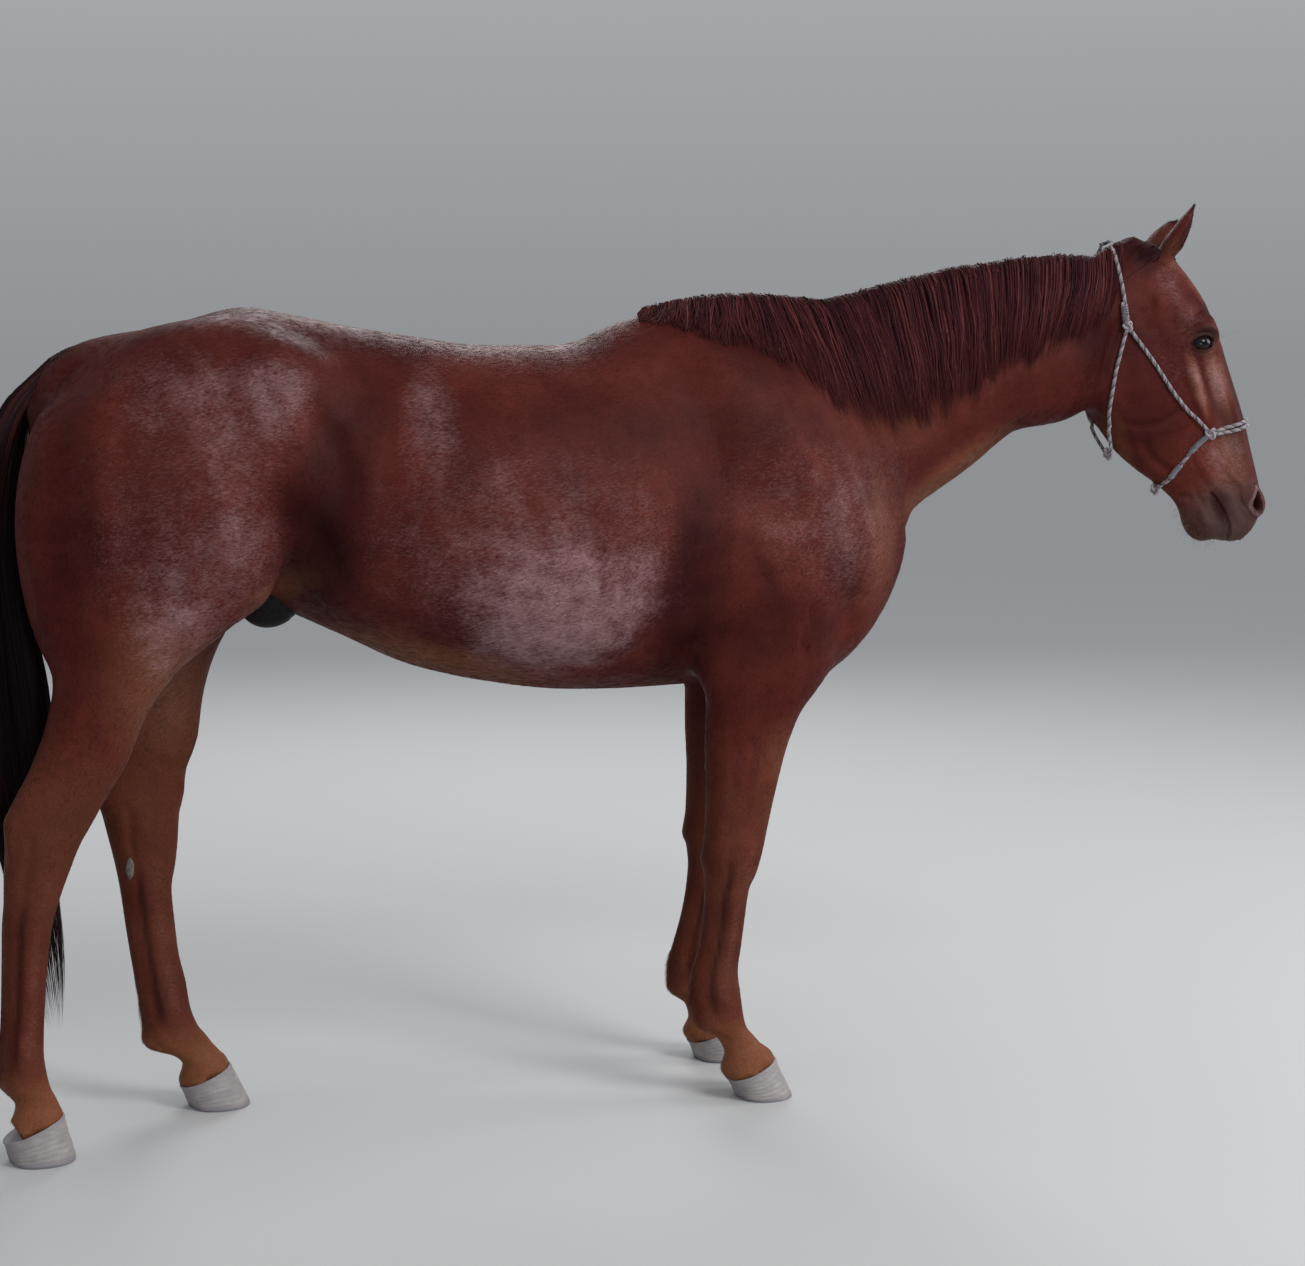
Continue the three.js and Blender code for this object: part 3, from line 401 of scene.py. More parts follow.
def field_slope(points, step=0.8):
    """The field and its slope at the points."""
    value = flesh_field(points)
    slope = np.empty_like(points)
    for axis in range(3):
        moved = points.copy()
        moved[:, axis] += step
        slope[:, axis] = (flesh_field(moved) - value) / step
    return value, slope


def settled(points, rounds):
    """Points moved along the field's slope until they lie on the skin."""
    for _ in range(rounds):
        value, slope = field_slope(points)
        steep = np.maximum((slope ** 2).sum(1), 0.2)
        points = points - slope * np.clip(value / steep, -9, 9)[:, None]
    return points


def read(items, key, width, kind=float):
    """A table of one value of every vertex, edge or face, such as its place."""
    flat = np.empty(len(items) * width, kind)
    items.foreach_get(key, flat)
    return flat.reshape(-1, width)


def mesh_points(mesh):
    return read(mesh.vertices, "co", 3)


def mesh_normals(mesh):
    return read(mesh.vertex_normals, "vector", 3, np.float32).astype(float)


def set_points(mesh, points):
    mesh.vertices.foreach_set("co", np.asarray(points, float).ravel())
    mesh.update()


def relaxed(points, edges, rounds):
    """Points eased halfway to the middle of their neighbours, which evens out a mesh."""
    ends = np.r_[edges[:, 0], edges[:, 1]]
    others = np.r_[edges[:, 1], edges[:, 0]]
    number = np.bincount(ends, minlength=len(points))
    for _ in range(rounds):
        middle = np.stack([np.bincount(ends, points[others, axis], len(points)) for axis in range(3)], 1)
        points = points + 0.5 * (middle / number[:, None] - points)
    return points


def subdivided(mesh, wanted):
    """Quarters every face whose corners are all wanted; its neighbours are stitched to it."""
    work = bmesh.new()
    work.from_mesh(mesh)
    inside = wanted(np.array([v.co for v in work.verts]))
    edges = [edge for edge in work.edges
             if inside[edge.verts[0].index] and inside[edge.verts[1].index]]
    bmesh.ops.subdivide_edges(work, edges=edges, cuts=1, use_grid_fill=True)
    work.to_mesh(mesh)
    work.free()
    mesh.update()


VOXEL = 16.0
low, high = np.array([-800.0, -330.0, -10.0]), np.array([1730.0, 330.0, 1740.0])
counts = np.ceil((high - low) / VOXEL).astype(int)
axes = [low[i] + VOXEL * np.arange(counts[i]) for i in range(3)]
grid_points = np.stack(np.meshgrid(*axes, indexing="ij"), -1).reshape(-1, 3)
grid = openvdb.FloatGrid(FAR)
grid.copyFromArray(flesh_field(grid_points).reshape(counts).astype(np.float32))
corners, quads = grid.convertToQuads(isovalue=0.0)
skin_mesh = bpy.data.meshes.new("skin")
skin_mesh.from_pydata((corners * VOXEL + low).tolist(), [], quads.tolist())
skin_mesh.validate()


def eased(mesh, rounds, settles):
    points = relaxed(mesh_points(mesh), read(mesh.edges, "vertices", 2, np.int32), rounds)
    set_points(mesh, settled(points, settles))


def head_local(points):
    return (points - POLL) @ HEAD[1].T  # along, side, front


def on_head(points):
    return (points - head_point(0, 0, 0)) @ np.array([0.957, 0, -0.29]) > -75


def on_face(points):
    along, side, front = head_local(points).T
    return on_head(points) & (along > -60) & ((along > 150) | (front > -70))


def on_lower_leg(points):
    return points[:, 2] < 640


def on_face_detail(points):
    along, side, front = head_local(points).T
    eye = np.hypot(along - EYE_ALONG, front - EYE_FRONT) < 42
    nose = (along > 525) & (front > 0) & (np.abs(side) > 18)
    mouth = (along > 500) & (front > -70)
    ear = np.zeros(len(points), bool)
    for one in ears:
        t = (points - one.root) @ one.up
        near = np.linalg.norm(points - one.root - np.outer(t, one.up), axis=1) < 42
        ear |= near & (t > 22)
    return ((eye & (np.abs(side) > 45)) | nose | mouth | ear)


EYE_ALONG, EYE_FRONT, EYE_SIDE = 211, 22, 75
eased(skin_mesh, 3, 3)
subdivided(skin_mesh, on_head)
subdivided(skin_mesh, on_lower_leg)
eased(skin_mesh, 2, 2)
subdivided(skin_mesh, on_face)
eased(skin_mesh, 2, 1)
subdivided(skin_mesh, on_face_detail)
eased(skin_mesh, 2, 2)


def shape_ear(points, ear):
    """Draws the filled ear out to its tip and presses its front into a hollow cup."""
    local = ear.local(points)
    t = local[:, 0] / ear.length
    bow = ear.bow(t)
    across, ahead = local[:, 1], local[:, 2] - bow
    reach = np.hypot(across / (ear.half_width(t) + 6), ahead / (ear.depth(t) + 6))
    near = (t > 0.02) & (t < 1.05) & (reach < 1.35)
    top = t[near].max()
    t = np.where(t > 0.5, 0.5 + (t - 0.5) * (0.995 - 0.5) / (top - 0.5), t)
    wide, deep = ear.half_width(t) - 1, ear.depth(t) - 1
    turn = np.arctan2(across / wide, -ahead / deep)
    open_share = np.clip((math.pi - np.abs(turn)) / (math.pi - ear.WRAP), 0, 1)
    inner_turn = np.sign(turn) * open_share * ear.WRAP
    front = np.abs(turn) > ear.WRAP
    angle = np.where(front, inner_turn, turn)
    inset = np.where(front, ear.wall(t) * np.clip(2.5 * (1 - open_share), 0, 1), 0)
    new = np.stack([
        t * ear.length,
        np.sin(angle) * np.maximum(wide - inset, 0.6),
        ear.bow(t) - np.cos(angle) * np.maximum(deep - inset, 0.6)], 1)
    mixed = local + (new - local) * step_up(t, 0.1, 0.32)[:, None]
    moved = points.copy()
    moved[near] = ear.root + mixed[near] @ ear.turn
    return moved


class Eye:
    """The frame of one eye: its long axis from corner to corner, its height, and out."""
    RADII = np.array([25.0, 21.5, 20.5])  # globe: long, high, deep
    OPENING = np.array([24.5, 14.0])  # half length and half height between the lids
    POINTED = 1.7

    def __init__(self, side):
        self.centre = head_point(EYE_ALONG, EYE_FRONT, side * (EYE_SIDE - 1.5))
        outward = unit(side * HEAD_SIDE + 0.20 * HEAD_FRONT)
        long = 0.316 * HEAD_ALONG + 0.949 * HEAD_FRONT
        self.long = unit(long - outward * (long @ outward))
        self.high = np.cross(self.long, outward) * -side
        if self.high[2] < 0:
            self.high = -self.high
        self.out = outward
        self.turn = np.array([self.long, self.high, self.out])

    def local(self, points):
        return (points - self.centre) @ self.turn.T

    def opening(self, u, v):
        """1 on the lids' edge, less inside the opening and more outside it."""
        long, high = self.OPENING
        return ((np.abs(u) / long) ** self.POINTED + (np.abs(v) / high) ** self.POINTED) ** (1 / self.POINTED)

    def lid_height(self, u, v):
        long, high, deep = self.RADII + (2.5, 1.2, 1.6)
        return deep * np.sqrt(np.maximum(1 - (u / long) ** 2 - (v / high) ** 2, 0.12))


eyes = [Eye(RIGHT), Eye(LEFT)]


def shape_eye(points, eye):
    """Sinks the skin inside the lids' opening and wraps it round the globe outside."""
    local = eye.local(points)
    u, v, w = local.T
    near = (np.hypot(u, v) < 62) & (w > -30)
    edge = eye.opening(u, v)
    close = near & (edge > 0.86) & (edge < 1.14)
    local[close, :2] /= edge[close, None]
    u, v, w = local.T
    edge = np.where(close, 1, edge)
    lid = eye.lid_height(u, v)
    share = np.clip((2.15 - edge) / 1.15, 0, 1) ** 1.3
    wrapped = w + (lid + 1.4 - w) * share
    upper_fold = 1.5 * np.exp(-((edge - 1.55) / 0.13) ** 2)
    lower_fold = 0.8 * np.exp(-((edge - 1.5) / 0.12) ** 2)
    wrapped -= np.where(v > 0, upper_fold, lower_fold) * share ** 0.3
    sunk = lid - 5.5 - 3 * (1 - edge)
    local[:, 2] = np.where(near, np.where(edge < 0.999, sunk, wrapped), w)
    moved = points.copy()
    moved[near] = eye.centre + local[near] @ eye.turn
    return moved


def surface_tree(points, mesh):
    faces = [tuple(face.vertices) for face in mesh.polygons]
    return BVHTree.FromPolygons([Vector(p) for p in points], faces)


def hits(tree, starts, way):
    """Where rays from the starts first meet a surface; a ray that misses is left out."""
    found = [tree.ray_cast(Vector(start), Vector(way))[0] for start in starts]
    return np.array([hit for hit in found if hit is not None])


def side_points(tree, places, side):
    """Points given as (x, z) put on the horse's flank on one side."""
    return hits(tree, [(x, side * 600.0, z) for x, z in places], (0, -side, 0))


def head_points(tree, places, side):
    """Points given as (along, front) put on one side of the head."""
    return hits(tree, [head_point(*place, side * 200) for place in places], -side * HEAD_SIDE)


def leg_points(stance, places, outer):
    """Points given as (height, share fore and aft) put on a leg's outer or inner face."""
    found = []
    for height, share in places:
        centre = stance.centre(np.float64(height))
        depth, width = float(stance.half_depth(height)), float(stance.half_width(height))
        bulge = math.sqrt(1 - share * share)
        face = stance.side if outer else -stance.side
        found.append(centre + (share * depth, face * width * bulge, 0))
    return np.array(found)


def distances(line):
    """How far along a polyline each of its points is."""
    return np.r_[0, np.cumsum(np.linalg.norm(np.diff(line, axis=0), axis=1))]


def values_at(at, lengths, line):
    """A polyline's points, or other values held at them, at distances along it."""
    return np.stack([np.interp(at, lengths, line[:, k]) for k in range(3)], 1)


def along_line(points, line):
    """Distance from each point to a polyline, and how far along it the nearest place is, 0 to 1."""
    nearest = np.full(len(points), 1e9)
    place = np.zeros(len(points))
    lengths = distances(line)
    for i in range(len(line) - 1):
        start, run = line[i], line[i + 1] - line[i]
        t = np.clip((points - start) @ run / max(run @ run, 1e-9), 0, 1)
        far = np.linalg.norm(points - start - t[:, None] * run, axis=1)
        closer = far < nearest
        nearest = np.where(closer, far, nearest)
        place = np.where(closer, (lengths[i] + t * (lengths[i + 1] - lengths[i])) / lengths[-1], place)
    return nearest, place


def smooth_line(line, steps=6):
    """A polyline rounded through its points."""
    if len(line) < 3:
        return line
    padded = np.vstack([2 * line[0] - line[1], line, 2 * line[-1] - line[-2]])
    out = []
    for i in range(1, len(padded) - 2):
        a, b, c, d = padded[i - 1:i + 3]
        for t in np.linspace(0, 1, steps, endpoint=False):
            out.append(0.5 * (2 * b + (c - a) * t + (2 * a - 5 * b + 4 * c - d) * t ** 2
                              + (3 * b - a - 3 * c + d) * t ** 3))
    out.append(line[-1])
    return np.array(out)


def stroke(points, lift, line, width, rise, fade=0.25, sharp=2):
    """Adds to `lift` a groove (rise below 0) or ridge along a line, fading towards its ends."""
    if len(line) < 2:
        return
    line = smooth_line(line)
    near = np.all((points > line.min(0) - width) & (points < line.max(0) + width), axis=1)
    far, place = along_line(points[near], line)
    across = np.clip(1 - (far / width) ** 2, 0, 1) ** sharp
    ends = step_up(np.minimum(place, 1 - place), 0, fade) if fade > 0 else 1
    lift[near] += rise * across * ends


# Muscles, bones and veins of the trunk and neck, on both sides: (x, z) line, width, rise.
body_strokes = [
    # Neck and shoulder.
    ([(1235, 1330), (1120, 1262), (1000, 1172), (900, 1098), (850, 1040)], 26, -7),
    ([(1255, 1352), (1130, 1290), (1010, 1205), (905, 1130)], 30, 3),
    ([(700, 1490), (748, 1400), (800, 1290), (826, 1200), (822, 1110)], 34, -7),
    ([(610, 1470), (660, 1370), (712, 1260), (756, 1160), (772, 1090)], 30, 4),
    ([(588, 1400), (640, 1300), (690, 1200), (722, 1120)], 22, -3.5),
    ([(1180, 1510), (1060, 1460), (950, 1395), (860, 1330)], 34, -4),
    ([(1280, 1470), (1180, 1400), (1060, 1330), (940, 1270)], 38, 3),
    # Triceps, elbow and girth.
    ([(478, 1330), (470, 1230), (470, 1120), (468, 1010), (462, 930)], 40, -8),
    ([(560, 1330), (520, 1230), (500, 1120), (500, 1020), (508, 930)], 40, 4),
    ([(700, 1080), (640, 1040), (585, 1010), (530, 985)], 26, -5),
    ([(660, 1150), (600, 1110), (560, 1050), (540, 970)], 22, -3.5),
    ([(716, 1060), (690, 990), (668, 930), (655, 880)], 22, -6),
    ([(760, 990), (730, 930), (700, 880), (690, 840)], 20, -3),
    ([(676, 975), (660, 935), (650, 890), (646, 845)], 13, -9),
    ([(505, 1110), (540, 1055), (572, 1000), (600, 950)], 14, -4),
    ([(455, 905), (440, 870), (442, 835)], 26, -7),
    ([(400, 900), (300, 872), (180, 858), (40, 860)], 34, -3),
    ([(430, 1010), (300, 1010), (150, 1010), (0, 1010)], 60, 2),
    # Ribs, loin and flank.
    ([(-120, 1330), (-150, 1200), (-130, 1060), (-60, 950)], 26, -2.2),
    ([(-20, 1330), (-50, 1200), (-30, 1060), (30, 940)], 22, -1.6),
    ([(90, 1330), (60, 1200), (70, 1060), (110, 930)], 22, -1.4),
    ([(200, 1340), (180, 1200), (180, 1060), (200, 930)], 22, -1.2),
    ([(300, 1350), (290, 1200), (290, 1060), (300, 930)], 22, -1.2),
    ([(-300, 1330), (-250, 1270), (-235, 1190), (-262, 1110)], 48, -11),
    ([(-345, 1150), (-300, 1080), (-262, 1010), (-205, 940)], 30, 5),
    ([(-300, 1165), (-262, 1090), (-225, 1020), (-170, 955)], 30, -6),
    # Hip, thigh and hamstrings.
    ([(-385, 1330), (-450, 1285), (-520, 1262), (-590, 1265)], 60, -5),
    ([(-470, 1440), (-540, 1380), (-580, 1310), (-590, 1230)], 56, -3.5),
    ([(-650, 1290), (-676, 1190), (-672, 1080), (-650, 980), (-640, 900)], 30, -3.5),
    ([(-560, 1250), (-590, 1170), (-602, 1080), (-598, 980), (-610, 880)], 36, -2.6),
    ([(-625, 1230), (-642, 1140), (-640, 1040), (-625, 940)], 34, 1.6),
    ([(-470, 1220), (-480, 1130), (-470, 1050), (-440, 985)], 34, -4),
    ([(-395, 1080), (-400, 1020), (-420, 965), (-455, 930)], 30, 5),
    ([(-360, 1010), (-372, 955), (-410, 915)], 22, -4),
    ([(-640, 1418), (-673, 1396), (-706, 1356), (-728, 1310)], 16, -6),
    ([(-500, 960), (-540, 920), (-580, 870), (-612, 815)], 26, -4.5),
]
# Veins of the belly, the forearm's top and the flank, in the same form.
vein_strokes = [
    ([(455, 900), (380, 884), (300, 905), (210, 892), (120, 905), (30, 898)], 7, 1.6),
    ([(300, 905), (255, 950), (190, 968)], 6, 1.1),
    ([(120, 905), (70, 945), (10, 955), (-50, 985)], 6, 1.0),
    ([(640, 1010), (600, 960), (585, 900)], 6, 1.2),
    ([(-380, 1090), (-330, 1050), (-300, 1000)], 6, 1.0),
]
# Legs: (height, share fore and aft), outer face or inner, width, rise.
foreleg_strokes = [
    ([(760, 0.55), (680, 0.45), (600, 0.35), (540, 0.2)], True, 15, -4),
    ([(760, -0.1), (680, -0.05), (600, -0.1), (545, -0.25)], True, 13, -4),
    ([(780, -0.6), (690, -0.5), (610, -0.45), (550, -0.5)], True, 12, -2.5),
    ([(720, 0.2), (640, 0.1), (560, 0.0)], False, 13, -3.5),
    ([(750, 0.6), (660, 0.55), (580, 0.5)], False, 8, 1.8),
    ([(540, -0.55), (515, -0.85)], True, 14, 5),
    ([(505, 0.3), (470, 0.35), (440, 0.3)], True, 12, 3),
    ([(500, -0.25), (470, -0.3), (435, -0.3)], True, 10, -3),
    ([(488, 0.9), (486, 0.5), (484, 0.0)], True, 6, -2.2),
    ([(458, 0.9), (457, 0.5), (456, 0.0)], True, 6, -2.0),
    ([(488, 0.9), (486, 0.5), (484, 0.0)], False, 6, -2.2),
    ([(458, 0.9), (457, 0.5), (456, 0.0)], False, 6, -2.0),
    ([(500, -0.25), (470, -0.3), (435, -0.3)], False, 10, -3),
]
hindleg_strokes = [
    ([(850, -0.2), (780, -0.25), (700, -0.35), (650, -0.45)], True, 17, -6),
    ([(830, -0.72), (760, -0.7), (690, -0.72), (640, -0.72)], True, 13, -5),
    ([(850, -0.2), (780, -0.25), (700, -0.35), (650, -0.45)], False, 17, -5),
    ([(830, -0.72), (760, -0.7), (690, -0.72), (640, -0.72)], False, 13, -5),
    ([(820, 0.35), (740, 0.25), (670, 0.15), (610, 0.1)], True, 12, -3.5),
    ([(620, -0.8), (585, -0.85), (545, -0.8)], True, 12, 3.5),
    ([(600, -0.35), (560, -0.35), (515, -0.4), (470, -0.4)], True, 13, -5),
    ([(600, -0.35), (560, -0.35), (515, -0.4), (470, -0.4)], False, 13, -4.5),
    ([(590, 0.45), (560, 0.3), (525, 0.35)], True, 12, 3),
    ([(570, 0.55), (530, 0.35), (500, 0.3)], False, 14, 3.5),
    ([(600, 0.85), (575, 0.5), (545, 0.1)], True, 7, -2.2),
    ([(840, 0.30), (770, 0.22), (700, 0.34), (640, 0.30), (585, 0.42)], False, 8, 3.2),
    ([(790, -0.05), (720, 0.0), (660, 0.02)], False, 12, -3.0),
    ([(590, 0.1), (550, 0.05), (505, 0.1)], False, 9, 2.4),
]
cannon_strokes = [
    ([(420, -0.28), (360, -0.22), (300, -0.22), (245, -0.3)], 7.5, -4.2),
    ([(415, -0.68), (350, -0.62), (290, -0.64), (240, -0.7)], 5.5, -2.4),
    ([(235, -0.45), (212, -0.5), (190, -0.35)], 9, -2.5),
    ([(222, 0.1), (205, 0.1), (188, 0.15)], 12, 2.2),
    ([(185, -0.1), (160, -0.2), (138, -0.1)], 8, -1.8),
    ([(150, -0.7), (128, -0.6), (108, -0.55)], 8, -3),
    ([(110, 0.5), (103, 0.0), (98, -0.5)], 7, -1.6),
]
# Head: (along, front) line, width, rise.
head_strokes = [
    ([(238, -10), (280, -14), (330, -20), (378, -22)], 13, 5.0),  # facial crest
    ([(235, -32), (290, -38), (345, -44), (385, -48)], 15, -3.6),
    ([(262, 20), (320, 16), (380, 14), (440, 18), (500, 20)], 20, -4.2),  # hollow beside the nose
    ([(255, 52), (320, 52), (400, 50), (470, 44), (530, 36)], 12, 2.4),  # edge of the nasal bone
    ([(305, -40), (322, -75), (326, -115), (312, -160), (285, -190)], 15, -4.5),  # front of the jaw muscle
    ([(130, -60), (180, -100), (240, -125), (290, -130)], 40, 4),
    ([(205, -30), (150, -36), (105, -28), (70, -15)], 18, 2.8),  # cheek arch
    ([(158, -62), (120, -70), (92, -58)], 20, -2.2),
    ([(122, -8), (100, -22), (92, -38)], 20, 2.6),  # jaw joint
    ([(160, 44), (135, 38), (108, 24)], 24, -5.0),  # hollow above the eye
    ([(190, 60), (160, 66), (130, 62), (100, 50)], 16, 2.4),
    ([(240, 50), (262, 42), (282, 26)], 8, -2.0),
    ([(95, -95), (120, -140), (165, -178), (215, -202)], 16, -7),  # behind the jaw
    ([(330, -152), (375, -150), (420, -128), (455, -100)], 16, -4),
    ([(390, -60), (430, -60), (470, -52), (505, -44)], 13, 3.2),
    ([(440, -20), (470, -10), (505, 2), (528, 16)], 10, 2.4),
    ([(470, -82), (500, -84), (530, -78)], 10, -2.4),
    ([(505, -26), (540, -22), (572, -24), (598, -26)], 12, 2.8),  # upper lip
    ([(520, -88), (548, -90), (575, -86)], 13, 3.0),  # lower lip
    ([(488, -122), (496, -104), (506, -92)], 13, -4.5),  # chin groove
    ([(512, 8), (528, -4), (548, -8), (570, -4)], 8, -2.6),
]
head_veins = [
    ([(286, 8), (312, -4), (340, -26), (352, -60), (346, -105), (330, -150)], 5.0, 1.5),
    ([(312, -4), (350, 4), (400, 8), (450, 4)], 4.2, 1.2),
    ([(352, -60), (390, -78), (430, -80), (470, -66)], 4.0, 1.0),
    ([(200, -36), (240, -52), (280, -60), (318, -72)], 4.4, 1.1),
    ([(400, 8), (440, 26), (480, 34)], 3.4, 0.8),
]
# Fine folds: above and below the eye, at the mouth's corner and round the nostril.
head_folds = [
    ([(176, 6), (172, 28), (180, 50), (196, 62)], 3.2, -1.2),
    ([(166, 10), (162, 32), (172, 56)], 3.2, -0.9),
    ([(236, 18), (240, 34), (238, 50)], 3.0, -1.0),
    ([(246, 16), (251, 34), (248, 54)], 3.0, -0.8),
    ([(504, -50), (498, -64), (500, -78)], 3.4, -1.4),
    ([(496, -46), (489, -62), (490, -80)], 3.4, -1.0),
    ([(588, 2), (592, -14), (590, -30)], 3.2, -1.0),
    ([(600, 0), (604, -14), (602, -30)], 3.0, -0.9),
]
MOUTH = [(507, -58), (520, -54), (545, -50), (573, -49), (598, -52), (612, -56)]
points = mesh_points(skin_mesh)
for ear in ears:
    points = shape_ear(points, ear)
set_points(skin_mesh, points)
tree = surface_tree(points, skin_mesh)
normals = mesh_normals(skin_mesh)
lift = np.zeros(len(points))
for side in (RIGHT, LEFT):
    for places, width, rise in body_strokes:
        stroke(points, lift, side_points(tree, places, side), width, rise)
    for places, width, rise in vein_strokes:
        stroke(points, lift, side_points(tree, places, side), width + 4, rise)
    for places, width, rise in head_strokes + head_veins + head_folds:
        stroke(points, lift, head_points(tree, places, side), width, rise)
for name, stance in stances.items():
    own = foreleg_strokes if name.startswith("fore") else hindleg_strokes
    for places, outer, width, rise in own:
        stroke(points, lift, leg_points(stance, places, outer), width, rise)
    for places, width, rise in cannon_strokes:
        for outer in (True, False):
            stroke(points, lift, leg_points(stance, places, outer), width, rise)
points = points + normals * lift[:, None]
for eye in eyes:
    points = shape_eye(points, eye)


class Nostril:
    """One nostril's frame: long axis down the muzzle, across it and out of the opening."""

    def __init__(self, side, tree):
        aim = unit(side * 0.85 * HEAD_SIDE + 0.42 * HEAD_FRONT + 0.30 * HEAD_ALONG)
        self.centre = hits(tree, [head_point(556, 16, side * 34) + 80 * aim], -aim)[0]
        self.out = aim
        long = HEAD_ALONG * 0.85 - HEAD_FRONT * 0.40
        self.long = unit(long - aim * (long @ aim))
        self.wide = np.cross(self.out, self.long)
        if self.wide @ HEAD_FRONT < 0:
            self.wide = -self.wide
        self.turn = np.array([self.long, self.wide, self.out])

    def local(self, points):
        return (points - self.centre) @ self.turn.T


def nostril_edge(u, v):
    """1 on the rim of a comma-shaped nostril, less inside it."""
    curl = v - 0.010 * (u + 4) ** 2 + 3.0
    width = 8.5 + 3.0 * np.tanh(u / 12)
    return np.hypot(u / 21.0, curl / width)


nostrils = [Nostril(side, tree) for side in (RIGHT, LEFT)]
for nostril in nostrils:
    local = nostril.local(points)
    u, v, w = local.T
    near = (np.hypot(u, v) < 46) & (np.abs(w) < 34)
    edge = nostril_edge(u, v)
    hole = step_up(1.0 - edge, 0, 0.45)
    rim = 3.0 * np.exp(-((edge - 1.18) / 0.22) ** 2)
    groove = -2.0 * np.exp(-((edge - 1.75) / 0.25) ** 2) * (v < 6)
    local[:, 2] += np.where(near, rim + groove - 22 * hole, 0)
    points = np.where(near[:, None], nostril.centre + local @ nostril.turn, points)

set_points(skin_mesh, points)
tree = surface_tree(points, skin_mesh)
mouth_lines = []
for side in (RIGHT, LEFT):
    front = hits(tree, [head_point(700, -54, side * 12), head_point(700, -52, 0)], -HEAD_ALONG)
    mouth_lines.append(smooth_line(np.vstack([head_points(tree, MOUTH, side), front])))
lift = np.zeros(len(points))
normals = mesh_normals(skin_mesh)
for line in mouth_lines:
    stroke(points, lift, line, 5.5, -5.0, fade=0.0, sharp=1.5)
    stroke(points, lift, line, 13, 1.6, fade=0.1)
points = points + normals * lift[:, None]
set_points(skin_mesh, points)
set_points(skin_mesh, placed(points))
skin_mesh.shade_smooth()
skin_points, skin_normals = points, mesh_normals(skin_mesh)


# Channels of the coat's marks: besides real roan, dark, gold and grey hair, the roan, gold and dark channels
# also paint highlights, bounced light and shade.
ROAN_AND_HIGHLIGHT, DARK, GOLD, GREY = range(4)
# Markings on either side of the body, some of them painted shade or painted bounced light as noted: middle x
# and z, radii, tilt in degrees, strength.
body_marks = {
    ROAN_AND_HIGHLIGHT: [
        (110, 1080, 430, 240, 0, 0.4), (180, 970, 260, 140, 0, 0.72), (150, 895, 190, 86, 0, 0.84),
        (-70, 1310, 70, 150, -8, 0.44), (-330, 1355, 90, 95, -30, 0.52), (-450, 1330, 230, 140, -10, 0.45),
        (-425, 1080, 150, 240, 0, 0.44), (-530, 950, 110, 130, 10, 0.5), (-600, 1130, 130, 260, 0, 0.28),
        (620, 1170, 200, 190, 0, 0.22), (700, 1090, 170, 190, 0, 0.3), (790, 1080, 140, 230, -6, 0.2),
        (860, 1200, 160, 90, 30, 0.14), (-530, 810, 120, 150, 20, 0.3),
    ],
    DARK: [
        # These three darken the hollow of the flank: painted shade.
        (-262, 1110, 85, 190, 8, 0.95), (-232, 1260, 64, 150, 8, 0.75), (-180, 1330, 70, 120, 0, 0.6),
        # The first two darken the girth behind the elbow: painted shade.
        (415, 950, 95, 190, 0, 1), (430, 1080, 70, 160, 0, 0.8), (340, 1300, 330, 90, 0, 0.5),
        # The second darkens the lower breast between the forelegs: painted shade.
        (556, 1020, 140, 30, -59, 0.38), (680, 890, 70, 44, 30, 0.4), (560, 900, 90, 90, 0, 0.4),
        (1318, 1430, 62, 95, 10, 0.8), (1240, 1500, 160, 60, 8, 0.35), (1150, 1370, 170, 46, 35, 0.25),
        (590, 1420, 110, 80, 0, 0.5), (-560, 1240, 90, 130, 0, 0.35), (-690, 1180, 56, 330, 0, 0.6),
        (-200, 1440, 260, 34, -4, 0.5),
    ],
    GOLD: [
        (1010, 1190, 190, 46, 33, 0.55), (815, 1060, 60, 170, -6, 0.34), (-320, 1005, 110, 40, 24, 0.5),
        # The first of these warms the belly's lower edge: painted warm light bounced up from the floor.
        (-60, 872, 260, 44, -14, 0.55), (-520, 800, 150, 220, 20, 0.55), (900, 1300, 110, 80, 0, 0.22),
        (610, 640, 60, 110, -6, 0.4),
    ],
}
